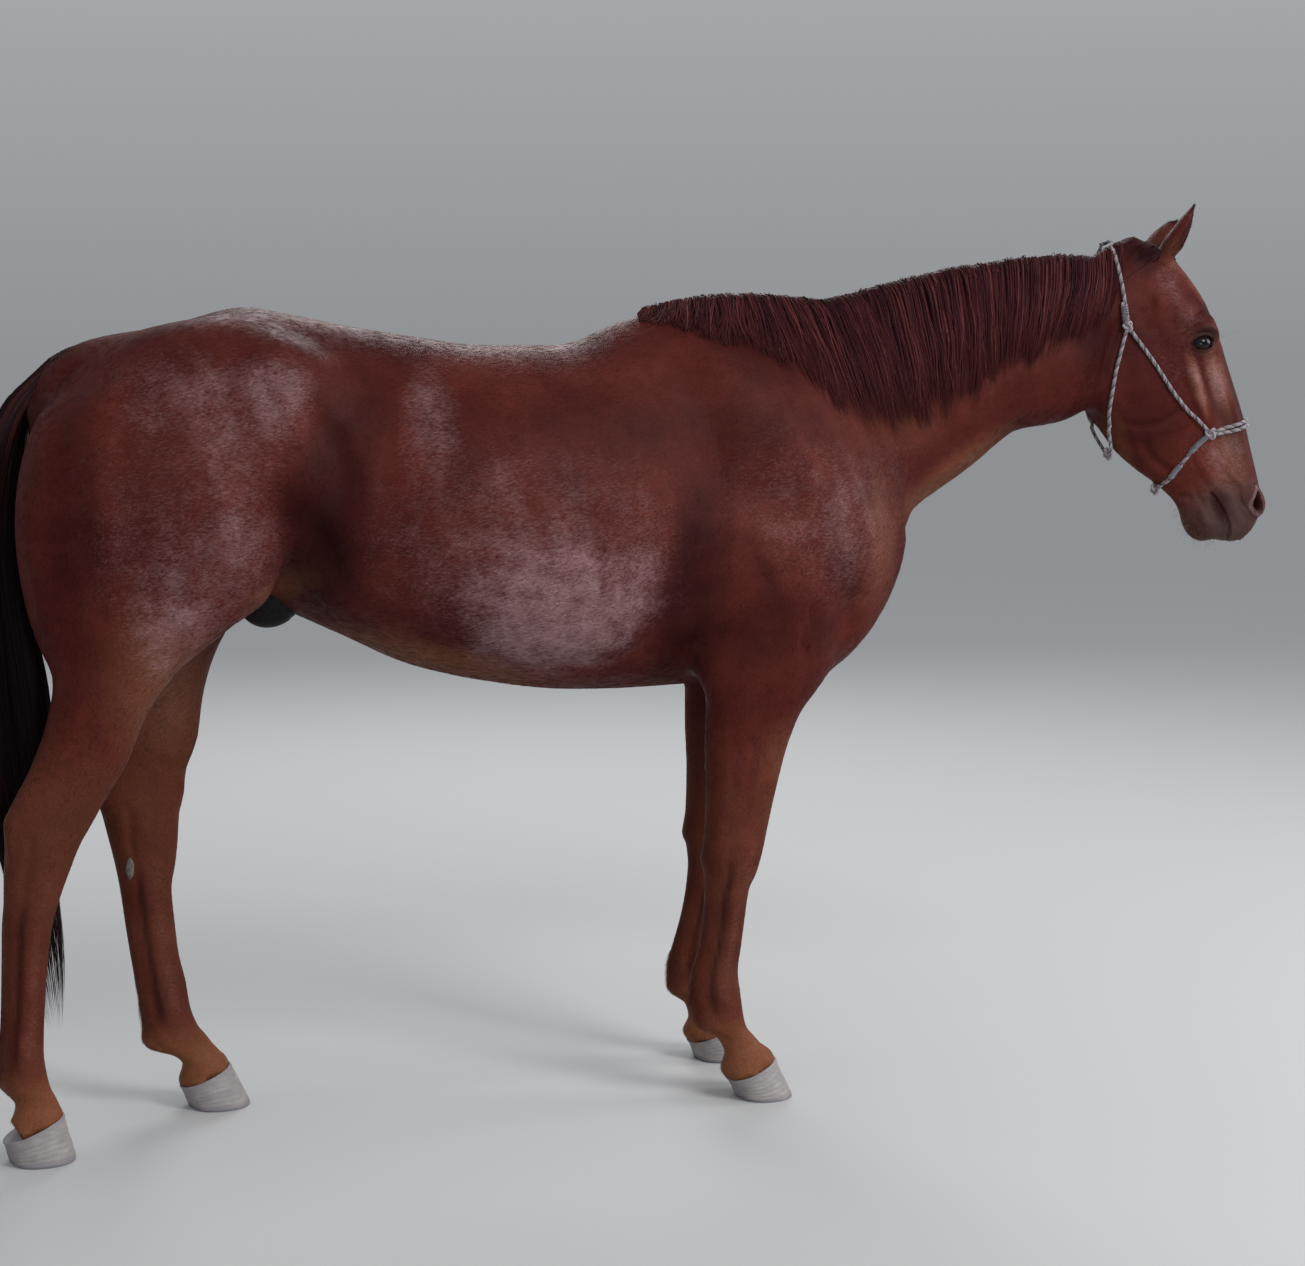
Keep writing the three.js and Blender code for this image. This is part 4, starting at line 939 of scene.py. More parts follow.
# Markings of the head, some of them painted highlights and shade as noted: middle along and front, radii,
# strength.
head_marks = {
    GREY: [
        (568, -50, 105, 120, 1), (330, 22, 100, 30, 0.2), (430, 20, 90, 40, 0.35), (207, 30, 34, 38, 0.95),
    ],
    DARK: [
        (-14, -14, 72, 56, 1), (-34, 16, 60, 50, 0.95), (120, -120, 60, 70, 0.45), (156, 60, 28, 20, 0.85),
        # The first two darken the mouth's corner, and the last darkens the gap between the face's two pale
        # streaks: painted shade.
        (548, -50, 52, 22, 0.95), (527, -48, 30, 22, 0.9), (575, -110, 60, 40, 0.45), (302, 8, 80, 10, 0.5),
        # The first is the lids' dark skin, with painted shade of the upper lid spread over it; the second is
        # painted shade, a dark line along the front of the face.
        (200, 32, 36, 30, 0.7), (335, 64, 110, 13, 0.55), (355, -130, 80, 80, 0.4),
    ],
    GOLD: [
        # The first is a painted rim of light along the forehead's top edge; the second and third are painted
        # highlights down the face, on the facial crest and beside it; the fourth is a painted bright rim
        # along the jaw's lower edge.
        (85, 76, 84, 26, 0.5), (285, -12, 88, 18, 0.65), (300, 32, 90, 30, 0.6), (380, -200, 150, 28, 0.5),
        (560, -124, 50, 24, 0.6), (460, 0, 90, 60, 0.4),
    ],
    ROAN_AND_HIGHLIGHT: [
        # The second is the painted rim of light on the forehead's edge, and the fourth is the painted
        # highlight on the facial crest.
        (68, 8, 60, 40, 0.45), (85, 80, 90, 24, 0.4), (150, 20, 60, 50, 0.25), (285, -12, 78, 18, 0.5),
        # The first is the painted highlight beside the facial crest.
        (296, 32, 86, 28, 0.65), (450, -22, 90, 36, 0.45), (450, 20, 90, 32, 0.42), (240, -40, 120, 90, 0.2),
    ],
}


def cloud(where, size, seed):
    """A soft uneven pattern from about -1 to 1 whose patches are some `size` across."""
    waves = np.random.default_rng(seed)
    return sum(np.sin(where @ waves.normal(0, 3.2 / size, 3) + waves.uniform(0, 6)) for _ in range(12)) / 3.5


def raise_to(marks, channel, value, own=True):
    """Raises a marking to a value wherever it is the point's own and lower."""
    marks[:, channel] = np.where(own, np.maximum(marks[:, channel], value), marks[:, channel])


def coat_marks(where):
    """Roan, dark, gold and grey at places on the coat, each 0 to 1; besides the coat's own markings they hold
    painted highlights, shade and bounced light.
    """
    x, y, z = where.T
    marks = np.zeros((len(where), 4))

    def add(channel, share, strength):
        amount = strength * np.clip(1 - share, 0, 1) ** 1.3
        marks[:, channel] = 1 - (1 - marks[:, channel]) * (1 - amount)

    for channel, spots in body_marks.items():
        for cx, cz, rx, rz, tilt, strength in spots:
            c, s = math.cos(math.radians(tilt)), math.sin(math.radians(tilt))
            across, up = (x - cx) * c + (z - cz) * s, (z - cz) * c - (x - cx) * s
            add(channel, (across / rx) ** 2 + (up / rz) ** 2 + np.where(z < 620, 2, 0), strength)
    along, side, front = head_local(where).T
    on = np.where(on_head(where), 0, 3)
    for channel, spots in head_marks.items():
        for ca, cf, ra, rf, strength in spots:
            add(channel, ((along - ca) / ra) ** 2 + ((front - cf) / rf) ** 2 + on, strength)
    patchy = 0.13 * cloud(where, 90, 1) + 0.15 * cloud(where, 30, 2)
    marks[:, ROAN_AND_HIGHLIGHT] *= np.clip(0.92 + patchy, 0.15, 1.4)
    marks[:, DARK] *= np.clip(0.96 - 0.6 * patchy, 0.4, 1.03)
    marks[:, ROAN_AND_HIGHLIGHT] *= 1 - 0.7 * marks[:, DARK]
    legs = 1 - step_up(z, 560, 760)
    marks[:, ROAN_AND_HIGHLIGHT] *= 1 - 0.85 * legs
    raise_to(marks, DARK, (0.16 - 0.1 * patchy) * legs * step_up(z, 120, 300))
    # A golden tone over the legs: painted warm light bounced up from the floor.
    raise_to(marks, GOLD, (0.20 + 0.08 * cloud(where, 90, 3)) * legs)
    for stance in stances.values():
        ahead = (x - stance.centre(z)[:, 0]) / stance.half_depth(z)
        own = (stance.side * y > 0) & (np.abs(ahead) < 1.3) & (z < 700)
        # Painted light on each leg: a pale rosy highlight painted down the front of the shin, and painted
        # shade as a dark line down the groove behind the cannon bone.
        shin_highlight = np.exp(-((ahead - 0.36) / 0.34) ** 2) * step_up(z, 130, 210) * (1 - step_up(z, 400, 640))
        groove = np.exp(-((ahead + 0.24) / 0.17) ** 2) * step_up(z, 150, 200) * (1 - step_up(z, 420, 520))
        raise_to(marks, ROAN_AND_HIGHLIGHT, (0.22 + 0.2 * patchy) * shin_highlight, own)
        raise_to(marks, GOLD, 0.26 * shin_highlight, own)
        marks[:, DARK] *= np.where(own, 1 - 0.7 * shin_highlight, 1)
        raise_to(marks, DARK, 0.85 * groove, own)
    raise_to(marks, GOLD, 0.9 * (1 - step_up(z, 85, 210)))
    raise_to(marks, GOLD, 0.3 * step_up(z, 380, 470) * (1 - step_up(z, 640, 800)) * (x < 0))
    groin = (1 - step_up(np.abs(y), 50, 120)) * step_up(-x, 200, 330) * (1 - step_up(z, 930, 1010))
    raise_to(marks, GREY, 0.55 * groin * step_up(z, 640, 900))
    under_tail = (1 - step_up(np.abs(y), 24, 62)) * step_up(-x, 700, 745) * (z < 1330) * (z > 1130)
    raise_to(marks, GREY, under_tail)
    marks = np.clip(marks, 0, 1)
    for ear in ears:
        local = ear.local(where)
        t = local[:, 0] / ear.length
        own = (t > -0.05) & (t < 1.1) & (np.hypot(local[:, 1], local[:, 2]) < 45)
        rim = np.abs(np.arctan2(local[:, 1], -(local[:, 2] - ear.bow(t))))
        edge = np.exp(-((rim - ear.WRAP) / 0.35) ** 2) * step_up(t, 0.15, 0.4)
        raise_to(marks, DARK, np.maximum(0.8 * edge, step_up(t, 0.72, 0.95)), own)
        marks[:, ROAN_AND_HIGHLIGHT] = np.where(own, 0.15, marks[:, ROAN_AND_HIGHLIGHT])
        marks[:, GOLD] = np.where(own, 0.25 * (1 - step_up(t, 0.2, 0.6)), marks[:, GOLD])
    return marks


skin_marks = coat_marks(skin_points)
for eye in eyes:
    u, v, w = eye.local(skin_points).T
    lid = (np.hypot(u, v) < 60) & (w > -20)
    raise_to(skin_marks, DARK, 1 - step_up(eye.opening(u, v), 1.0, 1.25), lid)
for nostril in nostrils:
    u, v, w = nostril.local(skin_points).T
    inside = (np.hypot(u, v) < 40) & (np.abs(w) < 40)
    edge = nostril_edge(u, v)
    rim = np.exp(-((edge - 1.35) / 0.22) ** 2) * inside
    raise_to(skin_marks, ROAN_AND_HIGHLIGHT, 0.8 * rim)
    skin_marks[:, DARK] *= 1 - rim
    # Near-black inside the nostril: painted shade in its hollow.
    raise_to(skin_marks, DARK, 1 - step_up(edge, 0.75, 1.1), inside)
# A near-black line along the mouth's slit: painted shade between the lips.
for line in mouth_lines:
    raise_to(skin_marks, DARK, 0.9 * (1 - step_up(along_line(skin_points, line)[0], 1.5, 4.5)))


def add_values(mesh, name, values, kind="FLOAT"):
    layer = mesh.attributes.new(name, kind, "POINT")
    layer.data.foreach_set("value" if kind == "FLOAT" else "color", np.asarray(values, np.float32).ravel())


add_values(skin_mesh, "marks", skin_marks, "FLOAT_COLOR")
add_values(skin_mesh, "shade", np.full(len(skin_points), 0.5))


class Nodes:
    """Adds nodes to a material and links them."""

    def __init__(self, name):
        self.material = bpy.data.materials.new(name)
        self.material.use_nodes = True
        self.tree = self.material.node_tree
        self.finish = self.tree.nodes["Principled BSDF"]

    def add(self, kind, inputs=None, **settings):
        node = self.tree.nodes.new(kind)
        for key, value in settings.items():
            setattr(node, key, value)
        for key, value in (inputs or {}).items():
            self.put(node.inputs[key], value)
        return node

    def put(self, socket, value):
        if isinstance(value, bpy.types.NodeSocket):
            self.tree.links.new(value, socket)
        else:
            socket.default_value = value

    def math(self, operation, a, b, clamp=False):
        node = self.add("ShaderNodeMath", {0: a, 1: b}, operation=operation, use_clamp=clamp)
        return node.outputs[0]

    def times(self, a, b, clamp=False):
        return self.math("MULTIPLY", a, b, clamp)

    def less(self, a, b):
        return self.math("SUBTRACT", a, b)

    def point(self, name, output="Fac"):
        """A value or colour that the mesh holds for each of its points."""
        return self.add("ShaderNodeAttribute", attribute_name=name).outputs[output]

    def mix(self, share, a, b, blend="MIX"):
        node = self.add("ShaderNodeMix", {"Factor": share}, data_type="RGBA", blend_type=blend)
        for socket, value in ((node.inputs[6], a), (node.inputs[7], b)):
            self.put(socket, value if isinstance(value, bpy.types.NodeSocket) else (*value, 1))
        return node.outputs[2]

    def noise(self, scale, detail=2.0, rough=0.5, stretch=(1, 1, 1)):
        place = self.add("ShaderNodeTexCoord").outputs["Object"]
        if stretch != (1, 1, 1):
            place = self.add("ShaderNodeMapping", {"Vector": place, "Scale": stretch}).outputs[0]
        node = self.add("ShaderNodeTexNoise",
                        {"Vector": place, "Scale": scale, "Detail": detail, "Roughness": rough})
        return node.outputs["Fac"]

    def ramp(self, value, low, high):
        """0 below `low`, 1 above `high`."""
        return self.add("ShaderNodeMapRange",
                        {"Value": value, "From Min": low, "From Max": high}).outputs[0]

    def bump(self, height, distance, strength=1.0, base=None):
        inputs = {"Height": height, "Distance": distance, "Strength": strength}
        if base is not None:
            inputs["Normal"] = base
        return self.add("ShaderNodeBump", inputs).outputs[0]

    def finished(self, colour, roughness, **others):
        """Sets the finish's inputs, named with _ for a space, and gives the material."""
        for key, value in {"Base_Color": colour, "Roughness": roughness, **others}.items():
            self.put(self.finish.inputs[key.replace("_", " ")], value)
        return self.material


def coat_finish(name, hair):
    """The coat's finish, for the skin and for its tufts: red, with white hairs mixed in for roaning, and
    painted highlights, shade and bounced light where the marks hold them.
    """
    made = Nodes(name)
    parts = made.add("ShaderNodeAttribute", attribute_name="marks")
    roan_and_highlight, dark, gold = made.add("ShaderNodeSeparateColor", {"Color": parts.outputs["Color"]}).outputs
    shade = made.point("shade")
    patches = made.ramp(made.noise(5.0, 3, 0.55), 0.38, 0.64)
    mottle = made.ramp(made.noise(34, 4, 0.6), 0.34, 0.66)
    fine = made.noise(420, 3, 0.7, (0.55, 1, 1))
    colour = made.mix(patches, (0.056, 0.0088, 0.0072), (0.096, 0.0182, 0.0132))
    colour = made.mix(made.times(mottle, 0.35), colour, (0.040, 0.0070, 0.0052))
    colour = made.mix(gold, colour, (0.190, 0.070, 0.032))
    colour = made.mix(made.times(parts.outputs["Alpha"], 0.85), colour, (0.066, 0.044, 0.039))
    colour = made.mix(made.times(dark, 0.94), colour, (0.0185, 0.0027, 0.0024))
    ticks = made.noise(300, 3, 0.75, (0.35, 1, 1))
    speckle = made.math("ADD", made.times(ticks, 0.8), made.times(shade, 0.4))
    clumps = made.times(made.less(made.noise(26, 5, 0.75), 0.5), 0.45)
    level = made.less(made.less(0.86, made.times(roan_and_highlight, 0.50)), clumps)
    white = made.ramp(made.less(speckle, level), -0.20, 0.26)
    white = made.times(white, made.times(roan_and_highlight, 1.6, True), True)
    colour = made.mix(made.times(white, 0.70), colour, (0.34, 0.205, 0.212))
    streak = made.ramp(fine, 0.30, 0.70)
    colour = made.mix(0.42, colour, made.mix(streak, (0.42, 0.42, 0.42), (1.5, 1.5, 1.5)), "MULTIPLY")
    colour = made.mix(1.0, colour, made.mix(shade, (0.70, 0.68, 0.68), (1.34, 1.34, 1.34)), "MULTIPLY")
    rough = made.math("ADD", made.times(mottle, 0.10), made.times(roan_and_highlight, 0.10))
    others = {}
    if not hair:
        coarse = made.bump(made.noise(150, 3, 0.6, (0.5, 1, 1)), 0.0016, 0.5)
        others["Normal"] = made.bump(fine, 0.0007, 0.8, coarse)
    return made.finished(colour, made.math("ADD", rough, 0.44), Specular_IOR_Level=0.06, **others)


coat_material = coat_finish("coat", hair=False)
skin = bpy.data.objects.new("skin", skin_mesh)
bpy.context.collection.objects.link(skin)
skin_mesh.materials.append(coat_material)
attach(skin, "root")
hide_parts("trunk", "neck", "head", "ear_right", "ear_left",
            "foreleg_right", "foreleg_left", "hindleg_right", "hindleg_left")

# -------------------------------------------------------------------------------------- hooves
# Four hooves of pale grey horn: a sloping wall with fine growth rings, a hollow sole with a
# wedge-shaped frog below, and a soft band at the top, which closes round the skin's collar.
# Made another way, as rings of points down each wall and in across its sole.


def triangle_mesh(name, where, faces, smooth=True):
    """A mesh from an array of points and an array of triangles, made in one go."""
    mesh = bpy.data.meshes.new(name)
    mesh.vertices.add(len(where))
    mesh.vertices.foreach_set("co", placed(where).astype(np.float32).ravel())
    mesh.loops.add(faces.size)
    mesh.loops.foreach_set("vertex_index", faces.astype(np.int32).ravel())
    mesh.polygons.add(len(faces))
    mesh.polygons.foreach_set("loop_start", np.arange(0, faces.size, 3, dtype=np.int32))
    mesh.update(calc_edges=True)
    mesh.validate()
    mesh.polygons.foreach_set("use_smooth", np.full(len(mesh.polygons), smooth))
    return mesh


def ring_faces(rings, sides):
    """Triangles between closed rings of points, facing out where each ring runs anticlockwise
    about the way from the first ring to the last."""
    i, j = np.meshgrid(np.arange(rings - 1), np.arange(sides), indexing="ij")
    a, b = i * sides + j, i * sides + (j + 1) % sides
    c, d = a + sides, b + sides
    return np.concatenate([np.stack([a, b, d], -1), np.stack([a, d, c], -1)]).reshape(-1, 3)


def capped_faces(rings, sides):
    """The same for rings that run clockwise, closed by a point at each end, listed after them."""
    last = rings * sides
    loop, following = np.arange(sides), (np.arange(sides) + 1) % sides
    return np.concatenate([
        ring_faces(rings, sides)[:, ::-1],
        np.stack([np.full(sides, last), loop, following], 1),
        np.stack([np.full(sides, last + 1), last - sides + following, last - sides + loop], 1)])


def new_piece(name, mesh, material, slot, *nodes):
    piece = bpy.data.objects.new(name, mesh)
    bpy.context.collection.objects.link(piece)
    mesh.materials.append(material)
    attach(piece, "root")
    if nodes:
        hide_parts(*nodes)


AROUND = 72
turn = np.arange(AROUND) * 2 * math.pi / AROUND  # 0 at the toe
heel = step_up(np.abs((turn + math.pi) % (2 * math.pi) - math.pi), 2.2, 2.9)


def hoof_outline(stance, height, widen):
    """The loft's outline at a height, from the toe anticlockwise seen from above."""
    height = np.broadcast_to(np.asarray(height, float), turn.shape)
    centre = stance.centre(height)
    deep, wide = stance.half_depth(height) + widen, stance.half_width(height) + widen
    share = (np.abs(np.cos(turn)) ** 2.1 + np.abs(np.sin(turn)) ** 2.1) ** (-1 / 2.1)
    return centre + np.stack([deep * share * np.cos(turn), wide * share * np.sin(turn), 0 * turn], 1)


# The sole's rings: size as a share of the ground edge, and height.
SOLE = [(0.965, 0.0), (0.90, 0.0), (0.87, 2.5), (0.72, 6.0), (0.5, 8.0), (0.28, 8.5), (0.1, 8.5)]
hoof_horn = Nodes("hoof_horn")
growth = hoof_horn.noise(60, 4, 0.6, (0.6, 0.6, 1.6))
stain = hoof_horn.ramp(hoof_horn.noise(22, 4, 0.65), 0.35, 0.7)
horn_colour = hoof_horn.mix(hoof_horn.ramp(growth, 0.3, 0.7), (0.23, 0.205, 0.200), (0.34, 0.303, 0.290))
horn_colour = hoof_horn.mix(hoof_horn.times(stain, 0.5), horn_colour, (0.185, 0.175, 0.200))
horn_colour = hoof_horn.mix(hoof_horn.point("tint"), horn_colour, (0.130, 0.124, 0.165))
hoof_horn.finished(horn_colour, hoof_horn.math("ADD", 0.42, hoof_horn.times(stain, 0.25)),
                   Normal=hoof_horn.bump(growth, 0.0006, 0.5))

for name, stance in stances.items():
    hoof_node = name.replace("leg_", "_hoof_")
    foot = coronet_point(stance)
    crown_height = np.full(AROUND, float(CORONET_HEIGHT))
    for _ in range(6):
        crown = hoof_outline(stance, crown_height, 0.4)
        crown_height = foot[2] + (crown[:, 0] - foot[0]) * math.tan(CORONET_SLOPE)
    crown = hoof_outline(stance, crown_height, 0.4)
    ground = hoof_outline(stance, 0.0, -0.4)
    ground[:, 0] += 7 * heel * np.abs(np.sin(turn)) ** 0.5 + 5 * heel
    rings, tints = [], []
    middle = crown.mean(0) - (0, 0, 2)
    for inset, drop in ((0.55, 3.0), (0.80, 1.5), (0.95, -0.4), (0.985, -0.6)):
        ring = middle + (crown - middle) * inset
        ring[:, 2] -= drop
        rings.append(ring)
        tints.append(np.full(AROUND, 0.3))
    for share in np.r_[np.linspace(0, 0.97, 34), 0.99]:
        height = crown_height * (1 - share)
        loft = hoof_outline(stance, height, 0.4)
        straight = crown + (ground - crown) * share
        ring = 0.35 * loft + 0.65 * straight
        ring[:, 2] = height
        band = 1.3 * math.exp(-((share - 0.035) / 0.05) ** 2)
        waves = share * 2 * math.pi * (7.5 - 1.5 * heel) + 1.5 * np.sin(2 * turn + foot[0])
        edge = -1.6 * max(share - 0.93, 0) / 0.07
        out = np.stack([np.cos(turn), np.sin(turn), 0 * turn], 1)
        growth_rings = 0.32 * np.sin(waves) * step_up(share, 0.08, 0.2) * (1 - heel)
        ring += out * (band - 0.6 + growth_rings + edge)[:, None]
        ring[:, 1] += -np.sign(np.sin(turn)) * 2.5 * heel * step_up(share, 0.1, 0.4)
        rings.append(ring)
        tints.append(np.clip(0.75 * (share - 0.8) / 0.2, 0, 0.8)
                     + 0.25 * math.exp(-(share / 0.05) ** 2) + 0.35 * heel)
    floor_centre = ground.mean(0)
    for inset, rise in SOLE:
        ring = floor_centre + (ground - floor_centre) * inset
        back, across = (floor_centre[0] - ring[:, 0]) / 58 + 0.35, ring[:, 1] - floor_centre[1]
        wedge = np.clip(back, 0, 1)
        frog = step_up(back, 0.0, 0.25) * (1 - step_up(np.abs(across), 3 + 14 * wedge, 8 + 17 * wedge))
        cleft = np.exp(-(across / 2.2) ** 2) * 3.5 * step_up(back, 0.5, 0.8)
        ring[:, 2] = rise * (1 - 0.8 * frog) + np.where(rise > 0, cleft, 0)
        rings.append(ring)
        tints.append(np.full(AROUND, 0.75))
    where = np.concatenate(rings + [[middle - (0, 0, 3.0)], [floor_centre + (0, 0, 8.5 * 0.6)]])
    hoof_mesh = triangle_mesh(hoof_node + "_horn", where, capped_faces(len(rings), AROUND))
    add_values(hoof_mesh, "tint", np.concatenate(tints + [[0.3, 0.75]]))
    new_piece("horn_" + hoof_node, hoof_mesh, hoof_horn.material, "hoof", hoof_node)

# -------------------------------------------------------------------------------------- eyes
# Large dark brown eyes with a level oblong pupil and a wet clear front. Each globe is held by the
# skin round it, behind its lids. Made another way, as a ball of points, for the clear front's curve.
eye_wet = Nodes("wet_eye")
fleck = eye_wet.times(eye_wet.ramp(eye_wet.noise(700, 3, 0.6), 0.35, 0.65), 0.35)
eye_wet.finished(eye_wet.mix(fleck, eye_wet.point("iris", "Color"), (0.004, 0.002, 0.0015)), 0.35,
                 Specular_IOR_Level=0.0, Coat_Weight=0.7, Coat_Roughness=0.02, Coat_IOR=1.33)
IRIS, RIM, PUPIL = (0.0105, 0.0062, 0.0078), (0.008, 0.005, 0.007), (0.0012, 0.0016, 0.0052)


def round_ball(rows, columns):
    """Points and faces of a ball of radius 1, in rings about z with a point at each end."""
    tip, spin = np.meshgrid(np.linspace(0, math.pi, rows + 2)[1:-1],
                            np.arange(columns) * 2 * math.pi / columns, indexing="ij")
    ball = np.stack([np.sin(tip) * np.cos(spin), np.sin(tip) * np.sin(spin), np.cos(tip)], -1)
    return np.vstack([ball.reshape(-1, 3), [0, 0, 1], [0, 0, -1]]), capped_faces(rows, columns)


for eye, side_name in zip(eyes, ("right", "left")):
    ball, faces = round_ball(40, 64)
    clear = 1.6 * np.exp(-(np.arccos(np.clip(ball[:, 2], -1, 1)) / 0.55) ** 2)
    local = ball * (eye.RADII - (0.4, 0.4, 0.8)) + ball * clear[:, None] * (0, 0, 1)
    if np.linalg.det(eye.turn) < 0:
        faces = faces[:, ::-1]
    eye_mesh = triangle_mesh("eye_" + side_name + "_globe", eye.centre + local @ eye.turn, faces)
    u, v = local[:, 0], local[:, 1]
    pupil = 1 - step_up(np.hypot(u / 8.5, v / 4.6), 0.85, 1.15)[:, None]
    rim = step_up(np.hypot(u / 18.5, v / 16.0), 0.85, 1.05)[:, None]
    colour = np.array(IRIS) * (1 - rim) + np.array(RIM) * rim
    colour = colour * (1 - pupil) + np.array(PUPIL) * pupil
    add_values(eye_mesh, "iris", np.c_[colour, np.ones(len(colour))], "FLOAT_COLOR")
    new_piece("globe_" + side_name, eye_mesh, eye_wet.material, "eye", "eye_" + side_name)

# -------------------------------------------------------------------------------------- sheath
# The sheath: a soft fold of near-black bare skin that hangs below the flank, with wrinkles round
# its mouth. Made another way, as a ball of points pushed in and folded.
ball, faces = round_ball(48, 72)
ball = ball[:, [2, 0, 1]]  # its ends point forward and back
turned = np.arctan2(ball[:, 2], ball[:, 1])
folds = 1.3 * np.sin(ball[:, 0] * 22 + 2.2 * np.sin(2.5 * turned)) * step_up(ball[:, 0], 0.1, 0.7)
mouth = -16 * np.exp(-(np.arccos(np.clip(ball @ unit((0.90, 0, -0.42)), -1, 1)) / 0.30) ** 2)
SHEATH_TILT = -0.35
c, s = math.cos(SHEATH_TILT), math.sin(SHEATH_TILT)
x, y, z = (ball * ((58, 38, 50) + (folds + mouth)[:, None])).T
bare = Nodes("bare_dark_skin")
wrinkle = bare.noise(160, 4, 0.6)
dark_skin = bare.mix(bare.ramp(wrinkle, 0.35, 0.7), (0.0045, 0.0034, 0.0042), (0.0120, 0.0090, 0.0105))
bare.finished(dark_skin, 0.5, Specular_IOR_Level=0.12, Normal=bare.bump(wrinkle, 0.0012, 0.7))
where = np.stack([x * c + z * s, y, z * c - x * s], 1) + (-322, 0, 972)
sheath_mesh = triangle_mesh("sheath_fold", where, faces)
new_piece("sheath_fold", sheath_mesh, bare.material, "dark_skin", "sheath")


# -------------------------------------------------------------------------------------- coat
# The coat: short flat hair in thin overlapping tufts over the whole skin, each a closed blade
# lying the way the hair grows, longest under the jaw, on the belly and behind the fetlocks.
# Made another way: arrays of blades, as there are far too many to model one by one.
random = np.random.default_rng(20)


def from_root(rings):
    """How far along its lock each point of one lock is, 0 at the root to 1 at the tip."""
    return np.r_[np.repeat(np.arange(rings - 1), 3), rings - 1] / (rings - 1)


def hair_mesh(name, paths, outward, half_width, thick, homes, patch=0.003):
    """Three-sided closed locks. `paths` and `outward` are (locks, rings, 3), the last ring being
    the tip. `homes` places each lock's patch on the bake map."""
    count, rings = paths.shape[:2]
    along = unit(np.gradient(paths, axis=1))
    side = unit(np.cross(outward, along))
    up = np.cross(along, side)
    body = slice(0, rings - 1)
    wide = side[:, body] * half_width[:, body, None]
    ring = np.stack([paths[:, body] + wide, paths[:, body] + up[:, body] * thick[:, body, None],
                     paths[:, body] - wide], 2)
    where = np.concatenate([ring.reshape(count, -1, 3), paths[:, -1:]], 1)
    each = where.shape[1]
    one = [(0, 2, 1)]
    for r in range(0, each - 4, 3):
        for i, j in ((0, 1), (1, 2), (2, 0)):
            one += [(r + i, r + j, r + 3 + j), (r + i, r + 3 + j, r + 3 + i)]
    one += [(each - 4 + i, each - 4 + j, each - 1) for i, j in ((0, 1), (1, 2), (2, 0))]
    faces = (np.array(one)[None] + each * np.arange(count)[:, None, None]).reshape(-1, 3)
    mesh = triangle_mesh(name, where.reshape(-1, 3), faces, smooth=False)
    across = np.r_[np.tile([0.0, 0.5, 1.0], rings - 1), 0.5]
    patches = homes[:, None] + patch * (np.stack([across, from_root(rings)], 1)[None] - 0.5)
    bake_map = mesh.uv_layers.new(name="OFBake")
    uv = np.clip(patches, 0, 1).reshape(-1, 2)[faces.ravel()]
    bake_map.data.foreach_set("uv", uv.astype(np.float32).ravel())
    return mesh, each


def around(where, centre, first, second):
    """Turn about an axis as a share of a whole turn, 0 to 1."""
    local = where - centre
    return np.arctan2(local @ second, local @ first) / (2 * math.pi) % 1


def unrolled(region, where):
    """Each place on the skin's own shape, unrolled to a square: one square to each region."""
    x, y, z = where.T
    if region == "head":
        share = around(where, POLL - 40 * HEAD_FRONT, -HEAD_FRONT, HEAD_SIDE)
        return np.stack([share, np.clip((head_local(where)[:, 0] + 150) / 790, 0, 1)], 1)
    if region == "legs":
        u = np.zeros(len(where))
        for place, (name, stance) in enumerate(stances.items()):
            centre = stance.centre(z)
            turned = around(where, centre, np.array([0, -stance.side, 0.0]), np.array([1.0, 0, 0]))
            own = (stance.side * y > 0) & ((x < -100) == name.startswith("hind"))
            u = np.where(own, (place + 0.02 + 0.96 * turned) / 4, u)
        return np.stack([u, np.clip(z / 830, 0, 1)], 1)
    middle = np.interp(x, (-900, 400, 760, 1440), (1150, 1150, 1210, 1500))
    fall = np.arctan2(np.abs(y), z - middle) / math.pi
    return np.stack([np.clip((x + 900) / 2420, 0, 1), fall], 1)


def hair_way(where, normals):
    """The way the hair grows at each place, along the skin."""
    x, y, z = where.T
    way = np.stack([np.full(len(x), -1.0), np.zeros(len(x)), -0.42 - 0.3 * step_up(-x, 300, 700)], 1)

    def blend(way, new, share):
        return way * (1 - share[:, None]) + np.asarray(new) * share[:, None]

    shoulder = np.exp(-((x - 600) / 200) ** 2) * step_up(1320 - z, 0, 300)
    way = blend(way, (-0.62, 0, -0.78), step_up(x, 650, 900))  # neck
    way = blend(way, (-0.45, 0, -0.9), shoulder)
    swirl_x, swirl_z = x + 262, z - 1150
    away = np.stack([swirl_x + 0.6 * swirl_z, 0 * x, swirl_z - 0.6 * swirl_x], 1)
    way = blend(way, unit(away, 1), np.exp(-(swirl_x ** 2 + swirl_z ** 2) / 120 ** 2))  # flank
    way = blend(way, (-0.10, 0, -1.0), 1 - step_up(z, 560, 860))  # legs
    way = blend(way, (-0.25, 0, -1.0), step_up(-x, 500, 640) * (1 - step_up(z, 1100, 1350)))  # rump
    along, side, front = head_local(where).T
    cheek = (step_up(-front, 20, 150) * (1 - step_up(along, 300, 420)))[:, None]
    face_way = HEAD_ALONG - 0.25 * HEAD_FRONT * (1 - cheek) - cheek * (0.9 * HEAD_FRONT + 0.2 * HEAD_ALONG)
    way = np.where(on_head(where)[:, None], face_way, way)
    for ear in ears:
        own = np.linalg.norm(where - ear.root - 0.5 * ear.length * ear.up, axis=1) < 0.62 * ear.length
        way = np.where(own[:, None], ear.up, way)
    way = way + random.normal(0, 0.16, way.shape)
    way -= normals * (way * normals).sum(1, keepdims=True)
    return unit(way, 1e-6)


